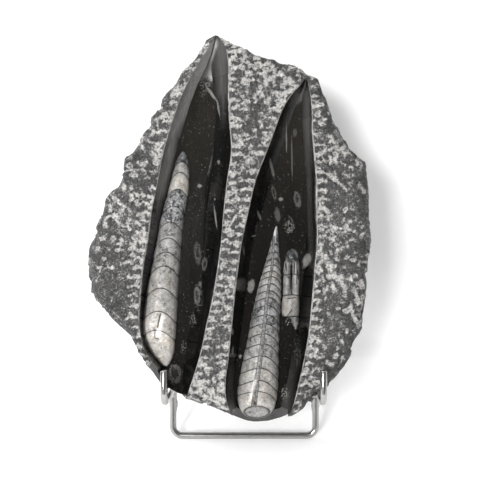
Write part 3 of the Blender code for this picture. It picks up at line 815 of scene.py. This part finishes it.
def wire(name, points, radius, look, beads=()):
    """Round wire along points, its bends of the given radius, with beads of weld metal."""
    bodies = [tube_rings(bend(points, radius), WIRE), *(weld_rings(*bead) for bead in beads)]
    mesh = joined(name, [loft_mesh(name, rings) for rings in bodies])
    soften(mesh, 40.0)
    return object_of(name, mesh, [look])


def weld_beads(low, high):
    """Two beads beside each of the wires on the left and on the right, from low to high in y and z."""
    sides = [x + side * 1.5 for x in (ARM_LEFT, ARM_RIGHT) for side in (-1.0, 1.0)]
    return [((x, *low), (x, *high), WELD_RADIUS) for x in sides]


def stand(look):
    """The three wires: hooks with the foot, the rest behind the slab, and the leg behind that."""
    front = [
        (ARM_LEFT, HOOK_Y, HOOK_TIP_Z), (ARM_LEFT, HOOK_Y, ARM_Z), (ARM_LEFT, LEG_Y, ARM_Z),
        (ARM_LEFT, LEG_Y, FOOT_Z), (ARM_RIGHT, LEG_Y, FOOT_Z), (ARM_RIGHT, LEG_Y, ARM_Z),
        (ARM_RIGHT, HOOK_Y, ARM_Z), (ARM_RIGHT, HOOK_Y, HOOK_TIP_Z),
    ]
    behind = 2.0 * WIRE + WELD_GAP
    rest_y = SLAB_BACK + WELD_GAP + WIRE
    foot_of_rest = LEG_Y + behind + 0.3
    rest = [
        (ARM_LEFT, foot_of_rest, REST_FOOT_Z), (ARM_LEFT, rest_y, REST_TOP_Z),
        (ARM_RIGHT, rest_y, REST_TOP_Z), (ARM_RIGHT, foot_of_rest, REST_FOOT_Z),
    ]
    slope = (foot_of_rest - rest_y) / (REST_TOP_Z - REST_FOOT_Z)
    top_y = rest_y + slope * (REST_TOP_Z - REAR_TOP_Z) + behind + 0.1
    low_z = REAR_TOP_Z - REAR_PARALLEL
    low_y = top_y + slope * REAR_PARALLEL
    foot_y = LEG_Y + REAR_REACH * math.cos(LEAN)
    foot_z = FOOT_Z + REAR_REACH * math.sin(LEAN)
    rear = [
        (ARM_LEFT, top_y, REAR_TOP_Z), (ARM_LEFT, low_y, low_z), (ARM_LEFT, foot_y, foot_z),
        (ARM_RIGHT, foot_y, foot_z), (ARM_RIGHT, low_y, low_z), (ARM_RIGHT, top_y, REAR_TOP_Z),
    ]
    low_beads = weld_beads((LEG_Y + 0.5 * behind, -93.5), (LEG_Y + 0.5 * behind, -101.5))
    high_beads = weld_beads((top_y - 0.5 * behind, -3.0), (low_y - 0.5 * behind, low_z + 3.0))
    return (
        wire("hooks_and_foot", front, FRONT_BEND, look),
        wire("back_rest_wire", rest, BACK_BEND, look, low_beads),
        wire("rear_leg_wire", rear, BACK_BEND, look, high_beads),
    )


# Materials

class Socket:
    """Output of a shader node that is reckoned with like a number."""

    def __init__(self, look, output):
        self.look = look
        self.output = output

    def __abs__(self):
        return self.look.reckon("ABSOLUTE", self)

    def most(self, other):
        return self.look.reckon("MAXIMUM", self, other)

    def least(self, other):
        return self.look.reckon("MINIMUM", self, other)

    def rise(self, low, high):
        """0 below low and 1 above high, or the other way round where low is the larger."""
        return self.look.node(
            "ShaderNodeMapRange",
            {"interpolation_type": "SMOOTHSTEP"},
            {"Value": self, "From Min": low, "From Max": high},
        )


def overload(name, operation):
    """Gives sockets an operator of numbers, also where a number stands on the left of it."""
    setattr(Socket, f"__{name}__", lambda self, other: self.look.reckon(operation, self, other))
    setattr(Socket, f"__r{name}__", lambda self, other: self.look.reckon(operation, other, self))


overload("add", "ADD")
overload("sub", "SUBTRACT")
overload("mul", "MULTIPLY")
overload("truediv", "DIVIDE")
overload("pow", "POWER")


class Nodes:
    """Node tree that is written in expressions."""

    def __init__(self, tree):
        self.tree = tree

    def put(self, target, value):
        if isinstance(value, Socket):
            self.tree.links.new(value.output, target)
        else:
            target.default_value = value

    def node(self, kind, settings=None, inputs=None, output=0):
        """New node with its settings and the values or links of its sockets; gives one of its outputs."""
        made = self.tree.nodes.new(kind)
        for name, value in (settings or {}).items():
            setattr(made, name, value)
        for name, value in (inputs or {}).items():
            self.put(made.inputs[name], value)
        return Socket(self, made.outputs[output])

    def reckon(self, operation, first, second=0.0):
        return self.node("ShaderNodeMath", {"operation": operation}, {0: first, 1: second})

    def parts(self, vector):
        """The x, y and z of a vector."""
        split = self.node("ShaderNodeSeparateXYZ", inputs={0: vector}).output.node
        return [Socket(self, output) for output in split.outputs]


class Look(Nodes):
    """A material that is built up in the words of a maker of surfaces."""

    def __init__(self, name):
        self.material = bpy.data.materials.new(name)
        self.material.use_nodes = True
        super().__init__(self.material.node_tree)
        self.shader = self.tree.nodes["Principled BSDF"]
        stand_place = {
            "Vector": self.node("ShaderNodeTexCoord", output="Object"),
            "Location": tuple(shift * MM for shift in SHIFT),
            "Rotation": (-LEAN, 0.0, 0.0),
        }
        upright = self.node("ShaderNodeMapping", {"vector_type": "TEXTURE"}, stand_place)
        in_mm = {"Vector": upright, "Scale": 1.0 / MM}
        self.place = self.node("ShaderNodeVectorMath", {"operation": "SCALE"}, in_mm)
        self.x, self.y, self.z = self.parts(self.place)

    def stored(self, name):
        return self.node("ShaderNodeAttribute", {"attribute_name": name}, output="Fac")

    def mix(self, share, first, second):
        """Blend of two colours."""
        return self.node("ShaderNodeMix", {"data_type": "RGBA"}, {0: share, 6: first, 7: second}, 2)

    def grey(self, value, warmth=0.0):
        """A grey of the given brightness, warm or cool by the given share."""
        return self.node(
            "ShaderNodeCombineColor",
            inputs={0: value * (1.0 + warmth), 1: value, 2: value * (1.0 - 1.3 * warmth)},
        )

    def cloud(self, size, detail=3.0, rough=0.55, warp=0.0, stretch=None):
        """Soft noise with patches of about the given size in mm, from 0 to 1."""
        place = self.place
        if stretch:
            place = self.node("ShaderNodeVectorMath", {"operation": "MULTIPLY"}, {0: place, 1: stretch})
        inputs = {"Vector": place, "Scale": 1.0 / size}
        inputs |= {"Detail": detail, "Roughness": rough, "Distortion": warp}
        return self.node("ShaderNodeTexNoise", inputs=inputs)

    def bump(self, height, depth, strength=1.0):
        """Relief of the surface: the height is in shares of the depth, which is in mm."""
        inputs = {"Strength": strength, "Distance": depth * MM, "Height": height}
        return self.node("ShaderNodeBump", inputs=inputs)

    def curve(self, share, points, top):
        """Smooth curve through points whose values lie between 0 and the top, read where the share says."""
        made = self.node("ShaderNodeFloatCurve", inputs={"Value": share})
        mapping = made.output.node.mapping
        line = mapping.curves[0].points
        for at, value in points:
            line.new(at, value / top)
        line.remove(line[-1])
        line.remove(line[0])
        mapping.update()
        return made * top

    def finish(self, **values):
        for name, value in values.items():
            self.put(self.shader.inputs[name.replace("_", " ")], value)
        return self.material


def rough_stone():
    """Limestone as the chisel left it: speckled grey, with crumbled whitish pecks and a smooth dark lip."""
    look = Look("pecked_limestone")
    dust = look.cloud(0.75, 2.0, 0.8)
    fine = look.cloud(1.3, 3.0, 0.8)
    grain = look.cloud(2.2, 3.0, 0.65)
    patch = look.cloud(6.0, 3.0, 0.55)
    wide = look.cloud(26.0, 2.0)
    peck = look.stored("peck")
    edge = look.stored("edge")
    sill = look.stored("sill")
    front = look.y.rise(10.0, 4.0)
    speckle = (dust - 0.5) * 5.0 + (fine - 0.5) * 5.5 + (grain - 0.5) * 3.5
    ground = 0.055 * 2.0 ** (speckle + (patch - 0.5) * 2.5 + (wide - 0.5) * 2.0)
    crumble = (grain - 0.5) * 1.2 + (fine - 0.5) * 2.2
    white = (peck + crumble).rise(0.22, 1.15) * (1.0 - 0.7 * (peck + 0.4 * crumble).rise(1.1, 1.3))
    white = white * (0.3 + 0.7 * front)
    scuffed = (speckle + (patch - 0.5) * 5.0 + (wide - 0.5) * 3.0).rise(0.7, 2.2) * 0.55
    worn = edge.rise(2.6, 0.6) * (patch + fine - 1.0).rise(-0.1, 0.25) * 0.08
    pale = 0.46 * 2.0 ** (speckle * 0.3)
    light = white.most(scuffed) * (1.0 - 0.85 * sill)
    shade = (ground + worn) * (1.0 - light) + pale.least(0.85) * light
    shade = shade * (1.0 - 0.95 * sill) + (0.02 + 0.06 * patch) * sill
    height = (fine * 0.5 + grain * 0.9 - peck * 0.3 + white * 0.2) * (1.0 - 0.85 * sill)
    return look.finish(
        Base_Color=look.grey(shade.most(0.01), 0.012 + 0.02 * light),
        Roughness=(0.72 + 0.2 * light) * (1.0 - 0.15 * sill),
        Normal=look.bump(height, 1.3, 1.0),
        Specular_IOR_Level=0.3,
    )


# Sections of other shells that the polish has cut: x, z, half width, half height, lean in degrees, how pale,
# and how wide the ring is, or 0 for a full one
SECTIONS = (
    (-22.6, 92.0, 0.8, 5.4, 36.0, 0.36, 0.0), (-25.0, 97.2, 1.2, 1.2, 0.0, 0.3, 0.3),
    (-18.6, 83.5, 0.6, 5.5, 10.0, 0.3, 0.0),
    (-18.4, 51.5, 1.0, 1.2, 0.0, 0.22, 0.0), (-20.7, 29.6, 0.6, 0.7, 0.0, 0.2, 0.0),
    (-20.1, 18.9, 0.55, 6.8, 8.0, 0.3, 0.0), (-29.9, 37.9, 1.4, 1.2, 0.0, 0.3, 0.0),
    (-31.1, -1.8, 1.6, 5.0, 4.0, 0.14, 0.2), (-26.9, -8.3, 1.3, 3.0, -8.0, 0.16, 0.3),
    (-31.4, -27.2, 1.4, 4.6, 0.0, 0.26, 0.3), (-29.6, -20.2, 0.9, 1.6, 0.0, 0.16, 0.0),
    (13.0, 48.0, 0.9, 5.2, 16.0, 0.2, 0.0), (14.2, 34.0, 1.0, 3.2, 12.0, 0.16, 0.25),
    (18.4, 30.2, 1.3, 1.2, 0.0, 0.3, 0.0), (28.1, 29.9, 1.5, 3.8, 10.0, 0.22, 0.3),
    (21.5, 66.0, 0.4, 8.5, 1.0, 0.26, 0.0), (24.8, 55.0, 0.45, 12.5, 1.0, 0.14, 0.0),
    (26.6, 69.3, 1.3, 2.2, 0.0, 0.1, 0.0), (16.3, 20.7, 1.7, 4.2, 8.0, 0.12, 0.0),
    (5.3, 20.7, 0.8, 2.8, 20.0, 0.16, 0.0), (2.1, 8.3, 1.3, 0.5, 20.0, 0.22, 0.0),
    (-3.6, -0.3, 0.6, 3.0, 6.0, 0.14, 0.0), (0.6, -21.6, 1.9, 4.0, -14.0, 0.34, 0.0),
    (-10.1, -46.8, 0.55, 2.6, 4.0, 0.3, 0.0), (-10.1, -58.9, 0.6, 2.8, -2.0, 0.24, 0.0),
    (-5.9, -63.3, 0.9, 1.3, -10.0, 0.34, 0.0), (33.5, -6.2, 1.9, 4.2, -22.0, 0.34, 0.0),
    (-45.0, -73.7, 3.4, 4.6, 0.0, 0.34, 0.14),
)
# Clouds of pale specks: x, z, half width, half height, amount
SPECKS = (
    (23.7, 14.2, 5.0, 9.0, 0.7), (22.6, -42.5, 2.4, 3.4, 1.6), (-33.7, -41.4, 3.2, 7.0, 0.8),
    (-39.4, -57.4, 2.6, 6.5, 0.7), (20.5, -85.5, 3.2, 6.5, 1.9), (-27.5, 96.0, 4.0, 12.0, 0.5),
    (28.0, -60.0, 3.0, 14.0, 0.35), (-30.0, -28.0, 4.0, 16.0, 0.45),
)


def oval(look, x, z, wide, high, lean):
    """1 on the outline of a leaning oval, less inside it."""
    turn = math.radians(lean)
    across = (look.x - x) * math.cos(turn) + (look.z - z) * math.sin(turn)
    along = (look.z - z) * math.cos(turn) - (look.x - x) * math.sin(turn)
    return ((across / wide) ** 2.0 + (along / high) ** 2.0) ** 0.5


def paleness(look, fine, grain):
    """Pale sections and specks in the polished stone, from 0 to 1."""
    dust = look.cloud(1.0, 2.0, 0.8)
    found = (dust + 0.5 * grain).rise(0.9, 1.06) * 0.24
    ragged = (grain - 0.5) * 0.9 + (fine - 0.5) * 0.5
    for x, z, wide, high, lean, pale, ring in SECTIONS:
        away = oval(look, x, z, wide, high, lean) + ragged * 2.0
        if ring:
            drawn = abs(away - 1.0).rise(ring + 0.2, 0.0) + away.rise(1.0, 0.75) * 0.16
            found = found.most(drawn * pale * (0.1 + grain))
        else:
            found = found.most(away.rise(1.2, 0.7) * pale * (0.3 + grain))
    for x, z, wide, high, amount in SPECKS:
        near = oval(look, x, z, wide, high, 0.0).rise(1.2, 0.3)
        specks = (look.cloud(0.9, 3.0, 0.7) + near * 0.18).rise(0.66, 0.84)
        found = found.most(specks * near * amount * 0.4)
    return found


# Painted reflections on the polished walls, as paler bands: x and z of both ends, half width, how much paler
# at the start and at the end
WALL_REFLECTION_BANDS = (
    (-21.0, 119.0, -33.2, 97.0, 3.6, 0.38, 0.32), (-33.2, 97.0, -44.5, 68.0, 3.6, 0.32, 0.26),
    (-44.5, 68.0, -52.5, 30.0, 3.0, 0.26, 0.12), (-52.5, 30.0, -60.0, -20.0, 2.2, 0.1, 0.04),
    (-17.0, 118.0, -15.6, 92.0, 5.4, 0.08, 0.06), (-15.6, 92.0, -15.6, 68.0, 2.8, 0.06, 0.0),
    (32.6, 91.0, 33.0, 76.0, 2.6, 0.05, 0.07), (33.0, 76.0, 34.3, 46.0, 2.6, 0.09, 0.03),
    (28.0, 90.0, 20.0, 68.0, 3.8, 0.06, 0.04), (20.0, 68.0, 11.0, 44.0, 2.6, 0.04, 0.01),
    (34.5, 48.0, 36.0, -10.0, 1.8, 0.04, 0.02), (-2.5, 18.0, -6.5, -20.0, 1.4, 0.03, 0.0),
    (-12.0, -60.0, -10.0, -98.0, 3.6, 0.01, 0.08), (26.0, -60.0, 20.0, -98.0, 3.6, 0.01, 0.06),
)


def beside_line(look, start_x, start_z, end_x, end_z):
    """Distance in mm from a straight line across the face, and the share of the line that is passed."""
    across, up = end_x - start_x, end_z - start_z
    share = ((look.x - start_x) * across + (look.z - start_z) * up) / (across**2 + up**2)
    share = share.most(0.0).least(1.0)
    away = ((look.x - start_x - share * across) ** 2.0 + (look.z - start_z - share * up) ** 2.0) ** 0.5
    return away, share


def polished_stone(name, colour, brown, gloss, reflection_bands=()):
    """Near black polished limestone: cloudy, brownish on the floors, and painted paler in the upper half as a
    sheen of the polish.
    """
    look = Look(name)
    fine = look.cloud(0.5, 3.0, 0.6)
    grain = look.cloud(1.3, 3.0, 0.6)
    cloudy = look.cloud(9.0, 3.0, 0.5, stretch=(1.0, 1.0, 0.35))
    streaks = look.cloud(1.6, 3.0, 0.6, stretch=(1.0, 1.0, 0.08))
    pale = paleness(look, fine, grain)
    # Painted sheen: the polish is painted paler up the slab, and paler still towards the upper right.
    base = colour * (0.3 + 1.4 * cloudy) * (0.4 + 0.6 * look.z.rise(10.0, 85.0) + 0.6 * streaks)
    sheen_upper_right = look.x.rise(8.0, 16.0) * look.z.rise(10.0, 70.0)
    base = base + colour * 0.6 * sheen_upper_right
    # Painted reflections: bands of the walls are painted paler, as where the polish mirrors something bright.
    band = 0.0
    for *line, wide, first, last in reflection_bands:
        away, share = beside_line(look, *line)
        band = (away.rise(1.25 * wide, 0.0) * (first + (last - first) * share)).most(band)
    base = base + band * (0.35 + 1.3 * streaks)
    stone = look.grey(base, brown)
    light = look.grey(0.45 + 0.35 * grain, 0.03)
    scratches = look.cloud(0.7, 2.0, 0.5, stretch=(1.0, 1.0, 0.04))
    height = scratches * 0.5 + look.cloud(6.0, 1.0) * 2.0
    dull_tip = look.z.rise(97.0, 106.0)
    return look.finish(
        Base_Color=look.mix(pale.least(0.9), stone, light),
        Roughness=gloss + 0.1 * (scratches - 0.4) + 0.12 * pale + 0.35 * dull_tip,
        Normal=look.bump(height, 0.06, 0.5),
        Specular_IOR_Level=0.5,
    )


def rim_stone():
    """Thin pale line where the ground edge of a channel meets the dressed face."""
    look = Look("broken_rim")
    fine = look.cloud(0.6, 4.0, 0.65)
    patch = look.cloud(3.5, 2.0)
    value = 0.09 + 0.3 * (fine + patch - 1.0).rise(-0.25, 0.25)
    return look.finish(
        Base_Color=look.grey(value, 0.02),
        Roughness=0.5,
        Normal=look.bump(fine, 0.25, 0.7),
    )


# Slits in the left shell: x and z of both ends, half width, how much lighter it is painted, or 0 for a dark
# one
# The broad light streak beside the lower slit is a painted highlight of the polish.
LEFT_SLITS = (
    (-51.0, -38.5, -53.2, -48.8, 2.0, 0.4), (-51.9, -37.0, -53.4, -44.5, 0.6, 0.0),
    (-53.0, -51.6, -54.6, -51.2, 0.4, 0.0), (-54.9, -46.0, -55.2, -51.0, 0.35, 0.0),
    (-45.6, 31.0, -45.9, 24.0, 0.35, 0.3), (-45.9, 23.6, -46.0, 15.0, 0.4, 0.0),
)
# Bright tip, a painted highlight of the polish beside the tube, and the tube's mouth in the right shell, in
# the same way
RIGHT_SLITS = (
    (14.9, 13.6, 14.5, 9.0, 1.1, 0.5), (3.0, -75.5, -0.2, -87.0, 1.2, 0.3),
    (2.6, -87.6, 2.7, -88.8, 0.8, 0.0),
)
# Cracks and hollows of the broken shell, in the same way
BROKEN_SLITS = (
    (24.5, -6.5, 24.5, -25.5, 0.75, 0.0), (27.6, -6.0, 27.5, -20.0, 0.4, 0.0),
    (26.1, -7.5, 26.1, -13.5, 0.45, 0.0), (21.4, -15.0, 23.2, -16.6, 0.55, 0.0),
    (25.2, -2.6, 27.3, -5.6, 1.3, 0.0), (22.6, -4.4, 23.2, -6.8, 0.6, 0.0),
    (21.8, -28.6, 26.8, -28.0, 0.4, 0.0), (24.6, -35.0, 22.0, -38.6, 0.35, 0.0),
    (27.9, -12.0, 28.6, -17.0, 0.5, 0.0), (21.0, -8.0, 21.6, -12.0, 0.5, 0.0),
)


def with_tube(look, value, fine, grain, end):
    """Draws the speckled tube down the right shell, its dark edges and the ring of its cut end."""
    share = (look.z - BAND_LOW) / BAND_SPAN
    down, middles, widths = zip(*BAND)
    at = [(z - BAND_LOW) / BAND_SPAN for z in down]
    middle = look.curve(share, zip(at, middles), 20.0)
    width = look.curve(share, zip(at, widths), 4.0)
    beside = abs(look.x - middle) - width / 2.0
    front = look.y.rise(15.5, 14.5) * (1.0 - end.rise(0.0, 0.02))
    inside = beside.rise(0.1, -0.1) * front
    edge = abs(beside + 0.1 * (fine - 0.5)).rise(0.26, 0.08) * front
    tube = 0.05 + 0.2 * (fine * 0.6 + grain * 0.5).rise(0.45, 0.7)
    value = value * (1.0 - inside) + tube * inside
    value = value * (1.0 - 0.8 * edge)
    ring = end.rise(0.0, 0.03) * end.rise(0.26, 0.12)
    return value * (1.0 - 0.85 * ring)


def calcite(name, band=False, slits=()):
    """Polished calcite: cloudy chambers with grey veins, dark lines at the joints, and painted highlights
    along some slits.
    """
    look = Look(name)
    fine = look.cloud(0.8, 3.0, 0.7)
    grain = look.cloud(1.9, 4.0, 0.65, 0.6)
    cloudy = look.cloud(5.0, 3.0, 0.55, 0.5)
    joint = look.stored("joint")
    pale = look.stored("pale")
    mottle = look.stored("mottle")
    veins = abs(look.cloud(5.2, 3.0, 0.5, 1.0) - 0.5).rise(0.03, 0.0) * (0.25 + 0.5 * mottle)
    blotched = (grain - 0.5) * 3.0 + (fine - 0.5) * 2.4 + (cloudy - 0.5) * 2.6
    flecks = (blotched * 0.5 + mottle * 0.55).rise(0.42, 0.72) * (0.3 + 0.7 * mottle)
    value = (0.05 + 0.38 * pale ** 1.4) * 2.0 ** (blotched * -0.75)
    value = value * (1.0 - 0.82 * flecks) * (1.0 - 0.5 * veins)
    line = (joint + 0.35 * (fine - 0.5)).rise(0.5, 0.18)
    value = value * (1.0 - 0.9 * line)
    if band:
        value = with_tube(look, value, fine, grain, look.stored("end"))
    for *ends, wide, highlight_and_pale in slits:
        slit = beside_line(look, *ends)[0] + 1.2 * (fine - 0.5)
        # Lighter lines: painted highlights of the polish, and the pale tip of the right shell.
        if highlight_and_pale:
            value = value + slit.rise(1.2 * wide, 0.0) * highlight_and_pale
        else:
            value = value * (1.0 - 0.85 * slit.rise(wide, 0.5 * wide))
    tan = (look.cloud(7.0, 2.0, 0.5, 0.6) - 0.5).rise(0.0, 0.14) * (1.0 - mottle)
    value = value * (1.0 - 0.14 * tan)
    warm = 0.035 + 0.03 * pale + 0.05 * tan - 0.05 * mottle - 0.05 * flecks * mottle
    height = grain * 0.3 + fine * 0.2 - flecks * 0.5 - veins * 0.3
    return look.finish(
        Base_Color=look.grey(value.most(0.02), warm),
        Roughness=0.36 + 0.16 * flecks + 0.1 * (fine - 0.5),
        Normal=look.bump(height, 0.14, 0.7),
        Specular_IOR_Level=0.25,
    )


def nickel():
    """Nickel plate on drawn wire: bright, with faint dull patches."""
    look = Look("bright_nickel_wire")
    drawn = look.cloud(0.5, 3.0, 0.6, stretch=(0.4, 0.4, 0.4))
    dull = look.cloud(5.0, 3.0, 0.6)
    value = 0.36 + 0.06 * dull
    return look.finish(
        Base_Color=look.grey(value, 0.015),
        Metallic=1.0,
        Roughness=0.2 + 0.05 * (dull + drawn - 0.7).most(0.0),
        Normal=look.bump(drawn, 0.01, 0.2),
    )


# Studio

# Soft panels: name, azimuth to the left of the camera, elevation, distance in m, size in m, watts
LAMPS = (
    ("key panel", 20.5, 20.0, 1.3, 0.26, 14.6),
    ("left panel", 85.0, 52.0, 0.6, 0.5, 2.4),
    ("back panel", 175.0, 30.0, 1.2, 0.8, 4.0),
)
LAMPS_AIM = (0.01, -0.01, 0.12)
# Paper: y where the floor turns up, y of the wall, half its width, its top, all in mm
PAPER_TURN, PAPER_WALL, PAPER_HALF, PAPER_TOP = 64.0, 78.0, 2500.0, 1800.0
PAPER_STEPS = 16
# The camera looks straight at the slab's face, from this many mm in front of it
CAMERA_AWAY, CAMERA_LENS, CAMERA_SENSOR = 362.0, 45.73, 36.0


def paper_look():
    """White paper that glows a little, more on the floor, which is also painted paler; it doesn't hide the
    object from someone who looks from behind it.
    """
    look = Look("white_paper")
    soft = look.cloud(180.0, 2.0)
    height = look.parts(look.node("ShaderNodeTexCoord", output="Object"))[2]
    # Painted light: the paper glows and its floor is painted paler, so the floor stays white although the
    # lamps reach it at a low angle.
    low = height.rise(0.09, 0.0)
    surface = look.finish(
        Base_Color=look.grey(0.84 + 0.1 * low + 0.01 * soft),
        Roughness=0.9,
        Specular_IOR_Level=0.1,
        Emission_Color=look.grey(0.02 + 0.16 * low),
        Emission_Strength=1.0,
    )
    behind = look.node("ShaderNodeNewGeometry", output="Backfacing")
    clear = look.node("ShaderNodeBsdfTransparent")
    shader = Socket(look, look.shader.outputs[0])
    both = look.node("ShaderNodeMixShader", inputs={0: behind, 1: shader, 2: clear})
    look.put(look.tree.nodes["Material Output"].inputs["Surface"], both)
    return surface


def studio():
    """Floor that turns up into a wall close behind the object, where its shadow falls."""
    radius = PAPER_WALL - PAPER_TURN
    profile = [(-PAPER_HALF, 0.0), (-600.0, 0.0), (0.0, 0.0), (PAPER_TURN, 0.0)]
    for i in range(1, PAPER_STEPS + 1):
        angle = math.pi / 2.0 * i / PAPER_STEPS
        profile.append((PAPER_TURN + radius * math.sin(angle), radius * (1.0 - math.cos(angle))))
    profile += [(PAPER_WALL, 400.0), (PAPER_WALL, PAPER_TOP)]
    places = [(x * MM, y * MM, z * MM) for y, z in profile for x in (-PAPER_HALF, PAPER_HALF)]
    faces = [(2 * i, 2 * i + 1, 2 * i + 3, 2 * i + 2) for i in range(len(profile) - 1)]
    mesh = bpy.data.meshes.new("paper")
    mesh.from_pydata(places, [], faces)
    mesh.shade_smooth()
    object_of("paper", mesh, [paper_look()])


def lamp(name, azimuth, elevation, distance, size, power):
    """Soft square panel that looks at the object."""
    light = bpy.data.lights.new(name, "AREA")
    light.size = size
    light.energy = power
    obj = bpy.data.objects.new(name, light)
    bpy.context.scene.collection.objects.link(obj)
    around, above = math.radians(azimuth), math.radians(elevation)
    away = (-math.sin(around) * math.cos(above), -math.cos(around) * math.cos(above), math.sin(above))
    obj.location = Vector(LAMPS_AIM) + Vector(away) * distance
    obj.rotation_euler = Vector(away).to_track_quat("Z", "Y").to_euler()


def room():
    """Room that is dim behind the camera and to the left, brighter above and to the right."""
    world = bpy.data.worlds.new("room")
    world.use_nodes = True
    sky = Nodes(world.node_tree)
    right, _, up = sky.parts(sky.node("ShaderNodeTexCoord", output="Generated"))
    background = sky.tree.nodes["Background"].inputs
    sky.put(background["Strength"], 0.12 + 0.3 * right.most(0.0) ** 2.0 + 1.1 * up.most(0.0) ** 4.0)
    background["Color"].default_value = (1.0, 1.0, 1.0, 1.0)
    bpy.context.scene.world = world


def lights_and_camera():
    for panel in LAMPS:
        lamp(*panel)
    room()
    bpy.context.scene.view_settings.view_transform = "Standard"

    camera = bpy.data.cameras.new("camera")
    camera.sensor_width = CAMERA_SENSOR
    camera.lens = CAMERA_LENS
    camera.clip_start = 0.02
    obj = bpy.data.objects.new("camera", camera)
    bpy.context.scene.collection.objects.link(obj)
    back, up = -CAMERA_AWAY * math.cos(LEAN), CAMERA_AWAY * math.sin(LEAN)
    obj.location = (Vector(SHIFT) + Vector((0.0, back, up))) * MM
    obj.rotation_euler = (math.pi / 2.0 - LEAN, 0.0, 0.0)
    bpy.context.scene.camera = obj


def main():
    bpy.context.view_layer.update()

    stone = [
        rough_stone(),
        polished_stone("polished_wall", 0.004, 0.02, 0.1, WALL_REFLECTION_BANDS),
        polished_stone("polished_floor", 0.009, 0.14, 0.07),
        rim_stone(),
    ]
    block = slab(stone)
    left = shell(
        "shell_left", LEFT_SHELL, LEFT_JOINTS, LEFT_DROP, LEFT_CHAMBERS,
        calcite("calcite_left", slits=LEFT_SLITS), left_relief,
    )
    right = shell(
        "shell_right", RIGHT_SHELL, RIGHT_JOINTS, RIGHT_DROP, RIGHT_CHAMBERS,
        calcite("calcite_right", band=True, slits=RIGHT_SLITS), right_relief, end_rings=8,
    )
    broken = fragment(calcite("calcite_broken", slits=BROKEN_SLITS))
    hooks, rest, leg = stand(nickel())

    pieces = (
        (block, "matrix", "limestone"),
        (left, "orthoceras_left", "calcite"),
        (right, "orthoceras_right", "calcite"),
        (broken, "orthoceras_fragment", "calcite"),
        (hooks, "stand_front", "wire"),
        (rest, "stand_back_rest", "wire"),
        (leg, "stand_rear_leg", "wire"),
    )
    for piece, node, slot in pieces:
        put_on_stand(piece)
        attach(piece, "root")
        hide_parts(node)

    studio()
    lights_and_camera()


main()
